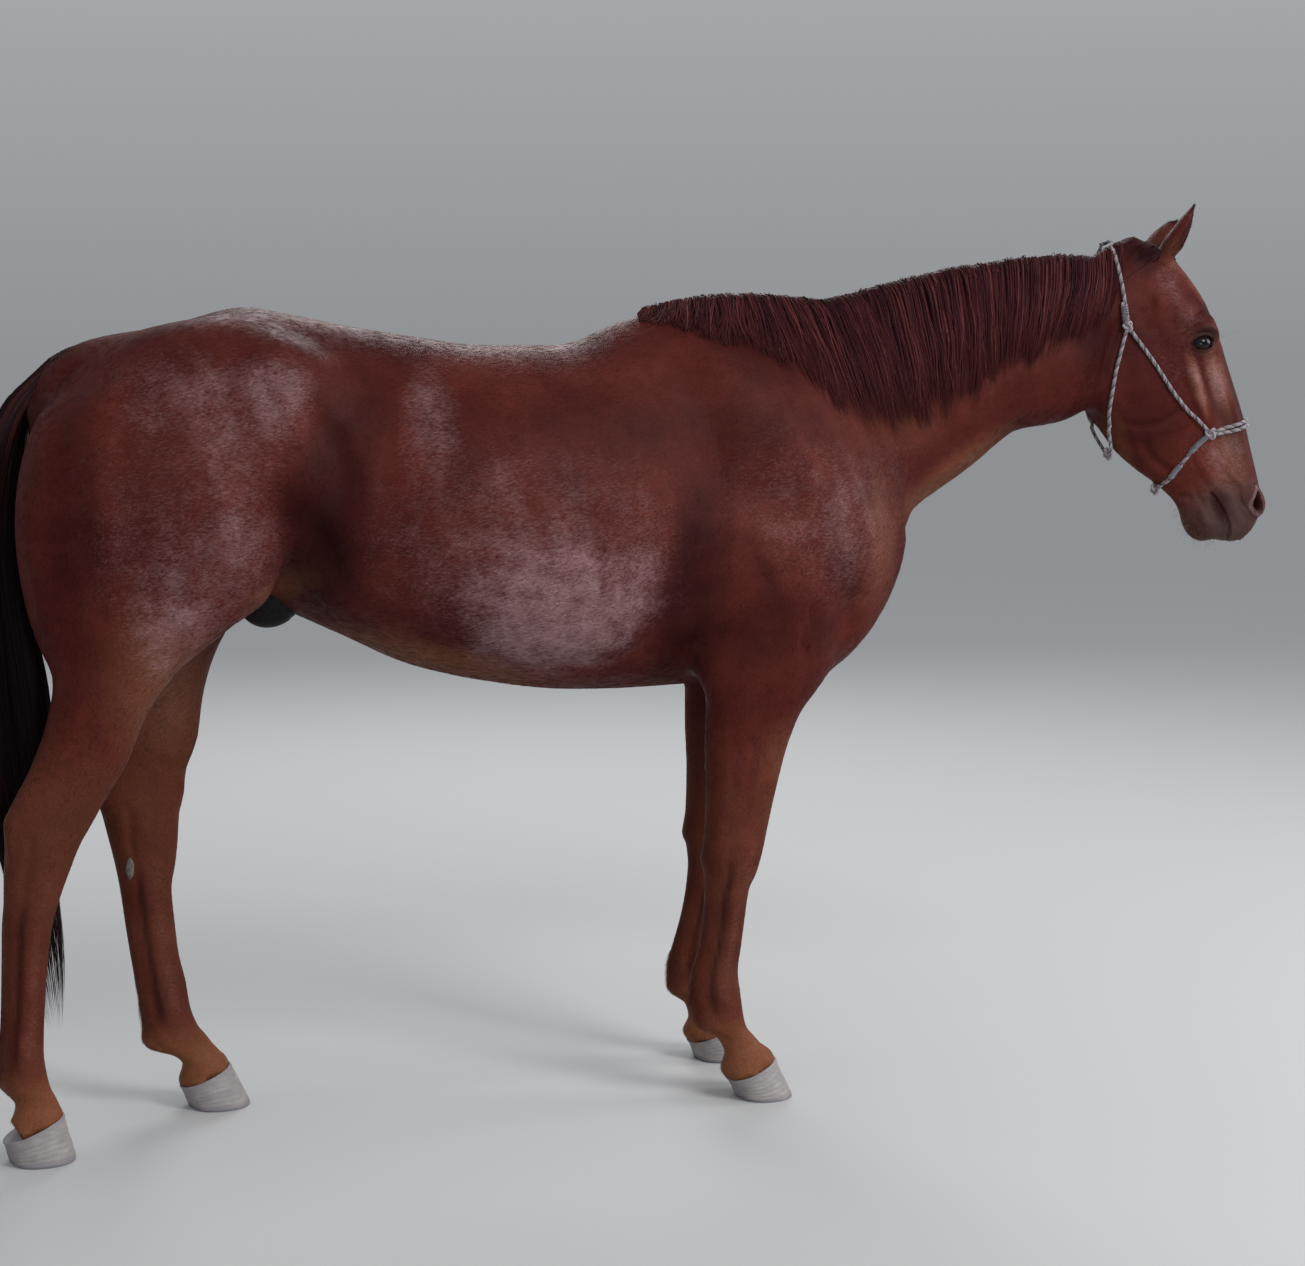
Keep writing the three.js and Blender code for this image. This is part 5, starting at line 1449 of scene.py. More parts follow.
skin_mesh.calc_loop_triangles()
skin_faces = read(skin_mesh.loop_triangles, "vertices", 3, np.int32)
corners = skin_points[skin_faces]
areas = np.linalg.norm(np.cross(corners[:, 1] - corners[:, 0], corners[:, 2] - corners[:, 0]), axis=1) / 2
centres = corners.mean(1)
face_on_head = on_head(centres)
bare_share = np.ones(len(centres))
for eye in eyes:
    u, v, w = eye.local(centres).T
    bare_share[(np.hypot(u, v) < 60) & (w > -20) & (eye.opening(u, v) < 1.12)] = 0
for nostril in nostrils:
    u, v, w = nostril.local(centres).T
    bare_share[(np.hypot(u, v) < 40) & (np.abs(w) < 40) & (nostril_edge(u, v) < 1.05)] = 0
for line in mouth_lines:
    bare_share[along_line(centres, line)[0] < 3] = 0
for stance in stances.values():
    near_foot = (np.abs(centres - coronet_point(stance)) < FOOT_ROOM).all(1)
    bare_share[near_foot & ((centres - coronet_point(stance)) @ CORONET_DOWN > -2)] = 0
bare_share[skin_marks[skin_faces].mean(1)[:, GREY] > 0.8] *= 0.35

low_face = centres[:, 2] < 800
regions = {
    "trunk_right": (~face_on_head & ~low_face & (centres[:, 1] < 0), 49000),
    "trunk_left": (~face_on_head & ~low_face & (centres[:, 1] >= 0), 49000),
    "legs": (~face_on_head & low_face, 44000),
    "head": (face_on_head, 48000),
}
coat_hair = coat_finish("coat_hair", hair=True)
for region, (chosen, wanted) in regions.items():
    weights = areas * chosen * bare_share
    picks = random.choice(len(weights), wanted, p=weights / weights.sum())
    shares = random.dirichlet((1, 1, 1), wanted)[..., None]
    roots = (corners[picks] * shares).sum(1)
    normals = unit((skin_normals[skin_faces[picks]] * shares).sum(1))
    marks = (skin_marks[skin_faces[picks]] * shares).sum(1)
    ways = hair_way(roots, normals)
    x, y, z = roots.T
    along, side, front = head_local(roots).T
    if region == "head":
        jaw = step_up(-front, 150, 215) * step_up(along, 60, 140)
        in_ear, tip = np.zeros(wanted), np.zeros(wanted)
        for ear in ears:
            local = ear.local(roots)
            own = (local[:, 0] > 8) & (local[:, 0] < ear.length) & (np.hypot(local[:, 1], local[:, 2]) < 42)
            in_ear = np.where(own & ((normals @ ear.hollow) > 0.15), 1, in_ear)
            near = np.linalg.norm(roots - ear.root, axis=1) < 1.3 * ear.length
            tip = np.maximum(tip, step_up(local[:, 0] / ear.length, 0.55, 0.8) * near)
        raise_to(marks, DARK, 0.75 * in_ear)
        length = (5.5 + 5 * jaw + 5 * in_ear * (1 - tip) + 0.008 * np.abs(along - 400)) * (1 - 0.35 * tip)
        wide, stand = 0.30, (0.25 + 0.9 * jaw + 1.6 * in_ear) * (1 - 0.8 * tip)
    elif region == "legs":
        above = step_up(z, 300, 800)
        fetlock = np.zeros(wanted)
        for stance in stances.values():
            behind = stance.centre(z)[:, 0] - x
            fetlock = np.maximum(fetlock, step_up(behind, 22, 42) * np.exp(-((z - 195) / 45) ** 2)
                                 * (stance.side * y > 0) * (np.abs(behind) < 80))
        coronet = 1 - step_up(z, 62, 100)
        length, wide = 7 + 5 * above + 16 * fetlock + 3 * coronet, 0.38 + 0.16 * above
        stand = 0.3 + 4.5 * fetlock + 1.0 * coronet
    else:
        belly = step_up(-normals[:, 2], 0.3, 0.9)
        front_edge = step_up(normals[:, 0], 0.5, 0.9) * step_up(x, 700, 900)
        length, wide = 13 + 3 * belly, 0.5
        stand = 0.4 + 0.7 * belly + 0.5 * front_edge
    length = length * random.uniform(0.7, 1.25, wanted)
    stand = stand * random.uniform(0.5, 1.5, wanted)
    tips = roots + ways * length[:, None] + normals * (stand + length ** 2 / 1800)[:, None]
    paths = np.stack([roots - normals * 0.25, tips], 1)
    wide = np.repeat((wide * random.uniform(0.75, 1.3, wanted))[:, None], 2, 1)
    outward = np.repeat(normals[:, None], 2, 1)
    mesh, each = hair_mesh("coat_" + region, paths, outward, wide, 0.3 * wide + 0.2, unrolled(region, roots))
    add_values(mesh, "marks", np.repeat(marks, each, 0), "FLOAT_COLOR")
    add_values(mesh, "shade", np.repeat(random.random(wanted), each))
    soft = unit(normals + random.normal(0, 0.06, normals.shape) - 0.08 * ways)
    mesh.normals_split_custom_set_from_vertices(np.repeat(soft, each, 0))
    new_piece("coat_" + region, mesh, coat_hair, "coat")

# -------------------------------------------------------------------------------------- mane
# The mane: long fine locks rooted along the crest from the withers to the poll, falling over the
# neck's right side to a ragged edge. Made another way, as arrays of closed curved locks.
crest_x = np.linspace(380, 1425, 96)
neck_middle = np.interp(crest_x, (380, 620, 760, 850, 940, 1060, 1180, 1290, 1380, 1440),
                        (1240, 1220, 1215, 1235, 1270, 1310, 1350, 1390, 1440, 1480))
skin_tree = surface_tree(skin_points, skin_mesh)
STEPS = 60
sections = np.zeros((len(crest_x), STEPS, 3))
for i, (x, middle) in enumerate(zip(crest_x, neck_middle)):
    for j, angle in enumerate(np.linspace(-0.10, 1.75, STEPS)):
        out = Vector((0, -math.sin(angle), math.cos(angle)))
        hit = skin_tree.ray_cast(Vector((x, 0, middle)) + out * 600, -out)[0]
        sections[i, j] = sections[i, j - 1] if hit is None else hit
edge_height = smooth_curve([380, 470, 560, 657, 739, 838, 959, 1059, 1129, 1201, 1304, 1400],
                           [1474, 1450, 1436, 1388, 1322, 1296, 1288, 1356, 1396, 1424, 1470, 1520])
FALL = 34
SPARE = 1.12  # how far the bed goes on below the mane's edge
sheet = np.zeros((len(crest_x), FALL, 3))
for i, x in enumerate(crest_x):
    falling = sections[i, np.argmin(np.abs(sections[i, :, 1])):]
    lengths = distances(falling)
    below = np.nonzero(falling[:, 2] < float(edge_height(x)))[0]
    end = lengths[below[0]] if len(below) else lengths[-1]
    at = np.linspace(0, min(end * SPARE, lengths[-1]), FALL)
    sheet[i] = values_at(at, lengths, falling)
sheet_out = unit(np.cross(np.gradient(sheet, axis=0), np.gradient(sheet, axis=1)))
if sheet_out[:, FALL // 2, 1].mean() > 0:
    sheet_out = -sheet_out


def on_sheet(grid, x, fall):
    """Values of a grid over the mane's bed at places along the crest and down the fall."""
    i = np.clip((x - crest_x[0]) / (crest_x[1] - crest_x[0]), 0, len(crest_x) - 1.001)
    j = np.clip(fall / SPARE * (FALL - 1), 0, FALL - 1.001)
    i0, j0 = i.astype(int), j.astype(int)
    a, b = (i - i0)[..., None], (j - j0)[..., None]
    return ((1 - a) * (1 - b) * grid[i0, j0] + a * (1 - b) * grid[i0 + 1, j0]
            + (1 - a) * b * grid[i0, j0 + 1] + a * b * grid[i0 + 1, j0 + 1])


mane_drift = smooth_curve([380, 500, 600, 720, 850, 1000, 1150, 1275, 1400],
                          [-40, -34, 8, 58, 46, 6, -30, -62, -52])
mane_arch = smooth_curve([380, 515, 672, 781, 929, 1109, 1224, 1320, 1364, 1420],
                         [6, 1, 4, 12, 24, 22, 22, 12, 3, 0])


def mane_locks(name, count, layers, widths, share_range, rings):
    """Locks from the crest down the bed, in clumps, at heights over the skin given by `layers`."""
    root_x = crest_x[0] + 18 + (1398 - crest_x[0] - 18) * random.random(count)
    clumps = np.sort(random.uniform(385, 1410, 105))
    own = np.abs(root_x[:, None] - clumps[None]).argmin(1)
    cling = random.uniform(0.35, 1.0, (count, 1))
    layer = random.uniform(*layers, (count, 1))
    reach = random.beta(4.5, 1.6, count) * (share_range[1] - share_range[0]) + share_range[0]
    reach = reach * random.uniform(0.78, 1.08, len(clumps))[own]
    short = 1 - step_up(root_x, 395, 520)
    reach = np.clip(reach * (1 - 0.25 * short), 0.2, SPARE)[:, None]
    s = np.linspace(0, 1, rings)[None]
    wave = random.uniform(0, 2 * math.pi, (count, 1))
    x = root_x[:, None] + mane_drift(root_x)[:, None] * s ** 1.25 * reach
    x = x + (clumps[own] - root_x)[:, None] * cling * s ** 1.1
    sway = random.normal(0, 24, len(clumps))[own]
    x = x + random.uniform(2, 8, (count, 1)) * np.sin(wave + 5.5 * s) * s
    x = x + random.normal(0, 8, (count, 1)) * s ** 1.6 + sway[:, None] * s ** 1.4 * np.cos(1.6 * s)
    base = on_sheet(sheet, x, s * reach)
    out = unit(on_sheet(sheet_out, x, s * reach))
    swell = (0.25 + 0.75 * np.clip(s / 0.22, 0, 1)) * (1 - 0.55 * s ** 2.2)
    hem = 1 - 0.35 * short[:, None] - 0.6 * step_up(root_x, 1310, 1400)[:, None]
    height = layer * swell * hem + 1.0 * np.sin(wave * 2 + 6 * s)
    paths = base + out * height[..., None]
    start = random.uniform(-8, 8, count)
    paths[:, :, 1] += start[:, None] * np.clip(1 - s / 0.12, 0, 1)
    lift = (mane_arch(root_x) * random.uniform(0.78, 1.05, count) + random.uniform(0, 1.5, count))[:, None]
    paths[:, :, 2] += lift * np.sin(math.pi * np.clip(s / 0.36, 0, 1)) ** 0.8
    paths[:, 0] -= (0, 0, 5)
    paths[:, 0, 2] -= np.abs(start) * 0.5
    wide = random.uniform(*widths, (count, 1)) * np.clip((1.02 - s) / 0.45, 0.16, 1)
    homes = np.clip(np.stack([(root_x - 380) / 1045, 0.04 + 0.92 * random.random(count)], 1), 0, 1)
    mesh, each = hair_mesh(name, paths, out, wide, 0.55 * wide + 0.15, homes, 0.004)
    shade = random.normal(0.42, 0.20, count) + 0.30 * random.random(len(clumps))[own] - 0.15
    add_values(mesh, "shade", np.repeat(np.clip(shade, 0, 1), each))
    add_values(mesh, "far", np.tile(from_root(rings), count))
    return mesh


def long_hair(name, root_tint, deep, mid, light, tip_light):
    """The finish of mane and tail: each lock's own shade, with a tint near the root, which on the mane is a
    painted sheen along the crest, and paler at the tip, painted as light shining through the thin ends.
    """
    made = Nodes(name)
    shade, far = made.point("shade"), made.point("far")
    colour = made.mix(made.ramp(shade, 0.15, 0.65), deep, mid)
    colour = made.mix(made.ramp(shade, 0.66, 0.95), colour, light)
    # Paler at the tip: painted light shining through the thin ends. Near the root is a tint that, on the
    # mane, is a painted sheen along the crest.
    colour = made.mix(made.times(made.ramp(far, 0.55, 1.0), 0.5), colour, tip_light)
    colour = made.mix(made.times(made.less(1.0, made.ramp(far, 0.0, 0.18)), 0.5), colour, root_tint)
    grain = made.mix(made.ramp(made.noise(260, 3, 0.6), 0.3, 0.7), (0.55, 0.55, 0.55), (1.5, 1.45, 1.4))
    return made.finished(made.mix(0.4, colour, grain, "MULTIPLY"), 0.46, Specular_IOR_Level=0.07)


def tapering(widths, count, s):
    """Half widths of locks, each narrowing to a fine tip."""
    return random.uniform(*widths, (count, 1)) * np.clip((1.02 - s) / 0.5, 0.15, 1)


mane_hair = long_hair("mane_hair", (0.066, 0.0210, 0.0180), (0.0215, 0.0046, 0.0068), (0.070, 0.0160, 0.0168),
                      (0.125, 0.036, 0.029), (0.078, 0.020, 0.018))
new_piece("mane_under", mane_locks("mane_under", 2500, (1.5, 8), (1.5, 2.8), (0.72, 1.0), 13),
          mane_hair, "mane_hair", "mane")
new_piece("mane_over", mane_locks("mane_over", 2500, (6, 17), (0.5, 1.4), (0.60, 1.10), 14),
          mane_hair, "mane_hair")

# The forelock and the clipped poll: short dark locks between the ears, and shorter ones that
# lie down behind the right ear. Made another way too, laid on the skin between the ears.
count, rings = 1500, 9
s = np.linspace(0, 1, rings)[None]
clipped = np.arange(count) >= 300
side = np.where(clipped, random.uniform(-34, 24, count), random.uniform(-10, 20, count))
along0 = np.where(clipped, random.uniform(-44, 16, count), random.uniform(4, 30, count))
length = np.where(clipped, random.uniform(26, 58, count), random.uniform(24, 52, count))
lean = np.where(clipped, random.normal(-0.95, 0.2, count), random.normal(0.15, 0.3, count))
guide_along = along0[:, None] + s * length[:, None] * np.where(clipped, 0.15, 0.85)[:, None]
guide_side = side[:, None] + s * length[:, None] * lean[:, None]
off_ears = np.min([np.linalg.norm(centres - ear.root - 0.62 * ear.length * ear.up, axis=1)
                   / (0.56 * ear.length) for ear in ears], axis=0) > 1
scalp = BVHTree.FromPolygons([Vector(place) for place in skin_points],
                             [tuple(face) for face in skin_faces[off_ears]])
poll_points = np.zeros((count, rings, 3))
poll_out = np.zeros((count, rings, 3))
for i in range(count):
    for j in range(rings):
        guide = head_point(guide_along[i, j], 60 - 0.012 * guide_side[i, j] ** 2, guide_side[i, j])
        poll_points[i, j], poll_out[i, j] = scalp.find_nearest(Vector(guide))[:2]
height = random.uniform(1, 5, (count, 1)) * np.clip(s / 0.3, 0.05, 1) * (1 - 0.5 * s)
wide = tapering((0.7, 1.6), count, s)
homes = np.stack([0.5 + side / 72, 0.1 + 0.8 * (along0 + 44) / 76], 1)
mesh, each = hair_mesh("forelock_locks", poll_points + poll_out * height[..., None], poll_out,
                       wide, 0.5 * wide + 0.15, homes, 0.006)
add_values(mesh, "shade", np.repeat(random.uniform(0, 0.3, count), each))
add_values(mesh, "far", np.full(each * count, 0.35))
new_piece("forelock_locks", mesh, mane_hair, "mane_hair", "forelock")

# -------------------------------------------------------------------------------------- tail
# The tail: a fleshy dock under its root, with long straight locks that fall from its back and
# sides to below the hocks, thinning to single strands. Made another way, as closed curved locks.
tail_height = np.array([1390, 1378, 1342, 1274, 1180, 1070, 950, 800, 650, 500, 350, 180.0])[::-1]
tail_middle = smooth_curve(tail_height, [-722, -744, -764, -781, -796, -808,
                                         -814, -802, -781, -747, -708, -700])
tail_deep = smooth_curve(tail_height, [10, 36, 46, 74, 75, 63, 50, 40, 36, 34, 24, 14])
tail_wide = smooth_curve(tail_height, [10, 30, 46, 56, 60, 58, 52, 44, 37, 33, 29, 16])
DOCK_END = 1090.0


def tail_locks(name, count, shell, widths, lowest, rings, start_range):
    """Locks from the dock down the tail's outline; `shell` is how deep inside it they lie."""
    root_height = random.uniform(*start_range, count)
    turn = random.uniform(-math.pi, math.pi, count)
    depth_share = shell[0] + (shell[1] - shell[0]) * np.sqrt(random.random(count))
    tip_height = np.clip(lowest + 640 * random.beta(1.35, 1.9, count), lowest, root_height - 150)
    s = np.linspace(0, 1, rings)[None]
    height = root_height[:, None] + (tip_height - root_height)[:, None] * s ** 0.95
    share = depth_share[:, None] * (0.30 + 0.70 * step_up(s, 0, 0.16))
    clumps = random.uniform(-math.pi, math.pi, 40)
    apart = np.angle(np.exp(1j * (clumps[None] - turn[:, None])))
    pull = np.take_along_axis(apart, np.abs(apart).argmin(1)[:, None], 1)[:, 0]
    angle = turn[:, None] + (pull * random.uniform(0.2, 0.9, count))[:, None] * s ** 1.2
    angle = angle + random.normal(0, 0.25, (count, 1)) * s
    wave = random.uniform(0, 2 * math.pi, (count, 1))
    sway = random.uniform(0.5, 3.5, (count, 1)) * np.sin(wave + 7 * s) * s
    out = np.stack([np.cos(angle), np.sin(angle), 0 * angle], -1)
    paths = np.stack([tail_middle(height) + tail_deep(height) * share * np.cos(angle) + sway,
                      tail_wide(height) * share * np.sin(angle) + sway * 0.6, height], -1)
    wide = tapering(widths, count, s)
    homes = np.stack([turn / (2 * math.pi) + 0.5,
                      (root_height - start_range[0]) / (start_range[1] - start_range[0])], 1)
    mesh, each = hair_mesh(name, paths, out, wide, 0.6 * wide + 0.2, 0.01 + 0.98 * homes, 0.004)
    red = 0.85 * step_up(root_height, 1290, 1375) * random.uniform(0.5, 1, count)
    shade = np.maximum(random.uniform(0, 0.5, count) ** 1.2, red)
    add_values(mesh, "shade", np.repeat(np.clip(shade, 0, 1), each))
    add_values(mesh, "far", np.tile(from_root(rings), count))
    return mesh


tail_hair = long_hair("tail_hair", (0.012, 0.0034, 0.0040), (0.0050, 0.0026, 0.0036),
                      (0.0150, 0.0048, 0.0056), (0.070, 0.018, 0.014), (0.022, 0.008, 0.008))
new_piece("tail_under", tail_locks("tail_under", 1400, (0.15, 0.75), (2.0, 3.6), 360, 18, (1080, 1378)),
          tail_hair, "tail_hair", "tail")
new_piece("tail_over", tail_locks("tail_over", 1650, (0.78, 1.0), (0.8, 1.8), 188, 19, (1085, 1384)),
          tail_hair, "tail_hair")

# Short red hair over the tail's root, laid from the croup back and down over the first locks.
# It grows from the skin there. Made another way, as closed curved locks.
count, rings = 520, 11
s = np.linspace(0, 1, rings)[None]
across = random.uniform(-1, 1, count)
root_x = random.uniform(-712, -664, count)
roots = hits(skin_tree, [(x, 34 * a, 1600) for x, a in zip(root_x, across)], (0, 0, -1))
reach = random.uniform(1130, 1300, count)
height = 1384 + (reach[:, None] - 1384) * s
bend = np.clip(s / 0.25, 0, 1)[..., None]
angle = across * 1.75
back, across_it = -np.cos(angle)[:, None], np.sin(angle)[:, None]
envelope = np.stack([tail_middle(height) + 0.9 * tail_deep(height) * back,
                     tail_wide(height) * across_it, height], -1)
flat = roots[:, None] + (envelope[:, 2:3] - roots[:, None]) * s[..., None]
paths = flat * (1 - bend) + envelope * bend
paths[:, 0, 2] -= 3
out = np.stack([back + 0 * s, across_it + 0 * s, 0.8 * (1 - s) + 0 * back], -1)
paths = paths + out * random.uniform(0.5, 3, (count, 1, 1))
wide = tapering((0.9, 1.9), count, s)
homes = np.stack([0.5 + 0.48 * across, 0.02 + 0.96 * (root_x + 712) / 48], 1)
mesh, each = hair_mesh("tail_root", paths, out, wide, 0.5 * wide + 0.2, homes, 0.006)
add_values(mesh, "shade", np.repeat(random.uniform(0.5, 0.85, count), each))
add_values(mesh, "far", np.tile(from_root(rings), count))
new_piece("tail_root", mesh, tail_hair, "tail_hair")

# The dock: a tapering stalk of flesh and short red hair that carries the locks, held in the
# body's end. Made another way, as rings of points that follow the tail's line.
rows, columns = 26, 28
spin = np.arange(columns) * 2 * math.pi / columns
rings = []
for place, height in enumerate(np.linspace(1386, DOCK_END, rows)):
    taper = 0.62 * math.sin(math.pi * min((place + 0.4) / 6, 0.5)) * (1 - 0.55 * place / rows)
    deep, wide = tail_deep(height) * taper + 3, tail_wide(height) * taper + 3
    x = tail_middle(height) + deep * np.cos(spin)
    rings.append(np.stack([x, wide * np.sin(spin), 0 * spin + height], 1))
where = np.vstack(rings + [rings[0].mean(0) + (0, 0, 2), rings[-1].mean(0) - (0, 0, 6)])
dock_mesh = triangle_mesh("dock", where, capped_faces(rows, columns))
add_values(dock_mesh, "marks", np.tile([0.0, 0.6, 0.0, 0.0], (len(where), 1)), "FLOAT_COLOR")
add_values(dock_mesh, "shade", np.full(len(where), 0.4))
new_piece("dock", dock_mesh, coat_material, "coat")


# -------------------------------------------------------------------------------------- halter
# A tied rope halter without a lead: grey rope of three laid strands over the crown, cheeks, nose
# and jaw, with knots at the cheeks, nose band, throat and chin, and cord whipped round the rope
# above each cheek knot and along the chin. Held by the head all the way; it lies on the skin.
# Made another way, as tubes swept along routes pushed clear of the skin.
ROPE, STRAND, LAY = 3.9, 2.25, 21.0  # radii of the rope and of a strand, and one turn's length


def carried_frame(line, closed=False):
    """A line's way at each point, and two ways across it that turn as little as they can."""
    along = unit(np.roll(line, -1, 0) - np.roll(line, 1, 0) if closed else np.gradient(line, axis=0))
    normal = np.zeros_like(line)
    normal[0] = unit(np.cross(along[0], (0.3, 0.5, 0.81)))
    for i in range(1, len(line)):
        normal[i] = unit(normal[i - 1] - along[i] * (normal[i - 1] @ along[i]))
    return along, normal, np.cross(along, normal)


def tube(line, radius, sides=6, closed=False):
    """Points and faces of a tube about a line; a closed line has no caps."""
    along, normal, other = carried_frame(line, closed)
    spin = np.arange(sides) * 2 * math.pi / sides
    radius = np.broadcast_to(np.asarray(radius, float), len(line))
    across = np.cos(spin)[None, :, None] * normal[:, None] + np.sin(spin)[None, :, None] * other[:, None]
    where = (line[:, None] + radius[:, None, None] * across).reshape(-1, 3)
    faces = ring_faces(len(line), sides)
    last = (len(line) - 1) * sides
    loop, following = np.arange(sides), (np.arange(sides) + 1) % sides
    if closed:
        gap = np.linalg.norm(where[last:][:, None] - where[:sides][None], axis=2).argmin(1)
        faces = np.concatenate([faces, np.stack([last + loop, last + following, gap[following]], 1),
                                np.stack([last + loop, gap[following], gap[loop]], 1)])
    else:
        where = np.vstack([where, line[0], line[-1]])
        faces = np.concatenate([faces, np.stack([np.full(sides, len(where) - 2), following, loop], 1),
                                np.stack([np.full(sides, len(where) - 1), last + loop, last + following], 1)])
    return where, faces


def even_line(line, step):
    lengths = distances(line)
    return values_at(np.linspace(0, lengths[-1], max(int(lengths[-1] / step), 4)), lengths, line)


def rope_route(places, clear=ROPE + 0.4, reach=9.0):
    """A route through head points, pushed clear of the skin and drawn on to it where near."""
    line = even_line(smooth_line(np.array([head_point(*place) for place in places]), 10), 2.2)
    for _ in range(4):
        for i, place in enumerate(line):
            hit, normal = map(np.array, skin_tree.find_nearest(Vector(place))[:2])
            off = (place - hit) @ normal
            if off < clear or off < reach:
                line[i] = place + normal * (clear - off) * (1.0 if off < clear else 0.6)
        line[1:-1] = 0.25 * line[:-2] + 0.5 * line[1:-1] + 0.25 * line[2:]
    return even_line(line, 1.9)


def laid_rope(line, phase=0.0):
    """Three strands laid round a line."""
    along, normal, other = carried_frame(line)
    parts = []
    for k in range(3):
        angle = (phase + 2 * math.pi * (distances(line) / LAY + k / 3))[:, None]
        coil = line + (ROPE - STRAND) * 1.1 * (np.cos(angle) * normal + np.sin(angle) * other)
        parts.append((*tube(coil, STRAND, 6), k))
    return parts


def whipping(line, radius, pitch, cord):
    """Thin cord wound closely round a stretch of rope."""
    along, normal, other = carried_frame(line)
    lengths = distances(line)
    at = np.linspace(0, lengths[-1], int(lengths[-1] / pitch * 14))
    base, n, o = (values_at(at, lengths, grid) for grid in (line, normal, other))
    angle = (2 * math.pi * at / pitch)[:, None]
    return [(*tube(base + radius * (np.cos(angle) * n + np.sin(angle) * o), cord, 5), 3)]


def knot(place, size, turned):
    """A rope knot: one strand looped through itself, drawn tight."""
    t = np.arange(64) * 2 * math.pi / 64
    curve = np.stack([np.sin(t) + 2 * np.sin(2 * t), np.cos(t) - 2 * np.cos(2 * t), -1.3 * np.sin(3 * t)], 1)
    curve = curve * size / 3.0 @ turned
    inner = 0.62 * curve[:, [1, 2, 0]]
    return [(*tube(place + loop, STRAND * 1.25, 6, True), tint) for loop, tint in ((curve, 0), (inner, 2))]


rope_look = Nodes("halter_rope")
fibre = rope_look.noise(520, 3, 0.7)
worn = rope_look.ramp(rope_look.noise(46, 3, 0.6), 0.38, 0.68)
rope_colour = rope_look.mix(rope_look.times(worn, 0.45), rope_look.point("tint", "Color"),
                            (0.125, 0.098, 0.094))
threads = rope_look.mix(rope_look.ramp(fibre, 0.3, 0.7), (0.55, 0.55, 0.55), (1.5, 1.5, 1.5))
rope_look.finished(rope_look.mix(0.5, rope_colour, threads, "MULTIPLY"), 0.85, Sheen_Weight=0.3,
                   Normal=rope_look.bump(fibre, 0.0006, 0.8))
# The three strands' greys, and the whipping cord's.
TINTS = [(0.30, 0.265, 0.285), (0.070, 0.058, 0.066), (0.215, 0.185, 0.205), (0.17, 0.18, 0.225)]


def joined(parts):
    """Many parts' points and faces as one."""
    firsts = np.cumsum([0] + [len(part[0]) for part in parts])
    return (np.concatenate([part[0] for part in parts]),
            np.concatenate([part[1] + first for part, first in zip(parts, firsts)]))


def rope_piece(name, parts, *nodes):
    mesh = triangle_mesh(name, *joined(parts))
    tints = [np.tile((*TINTS[tint], 1), (len(where), 1)) for where, faces, tint in parts]
    add_values(mesh, "tint", np.concatenate(tints), "FLOAT_COLOR")
    new_piece(name, mesh, rope_look.material, "rope", *nodes)


def mirrored(places, side):
    return [(along, front, across * side * -1) for along, front, across in places]


# Routes are (along, front, side) on the head, written for the right side as positive.
crown = [(116, -108, 86), (85, -98, 84), (52, -88, 78), (0, -72, 62), (-34, -60, 36), (-50, -50, 0)]
noseband = [(390, -18, 58), (396, 28, 50), (403, 68, 28), (405, 80, 0)]
noseband_lower = [(394, -20, 58), (406, 26, 49), (413, 68, 28), (416, 79, 0)]
throat = [(116, -108, 86), (160, -142, 82), (203, -172, 72), (282, -208, 52), (338, -214, 22), (350, -216, 0)]
chin = [(390, -20, 60), (404, -62, 56), (424, -96, 48), (446, -134, 34), (458, -150, 0)]
cheek = [(116, -108, 86), (200, -88, 86), (287, -66, 76), (350, -38, 66), (390, -20, 60)]

crown_line = rope_route(mirrored(crown, RIGHT)[:-1] + mirrored(crown, LEFT)[::-1], ROPE + 3, 40)
above = [crown_line[3:26], crown_line[-26:-3]]
doubled = []
for stretch in above:
    shift = np.array([skin_tree.find_nearest(Vector(place))[1] for place in stretch])
    beside = np.cross(np.gradient(stretch, axis=0), shift)
    beside /= np.linalg.norm(beside, axis=1, keepdims=True)
    doubled += laid_rope(stretch + beside * 5.2, phase=1.0)
    doubled += whipping((stretch + beside * 2.6)[4:20], 6.6, 4.6, 1.1)
rope_piece("rope_crown", laid_rope(crown_line) + doubled, "halter_crown")
for name, route, node in (("rope_noseband", noseband, "halter_noseband"),
                          ("rope_noseband_lower", noseband_lower, "halter_noseband_lower")):
    line = rope_route(mirrored(route, RIGHT)[:-1] + mirrored(route, LEFT)[::-1])
    rope_piece(name, laid_rope(line, phase=0.7 * len(name)), node)
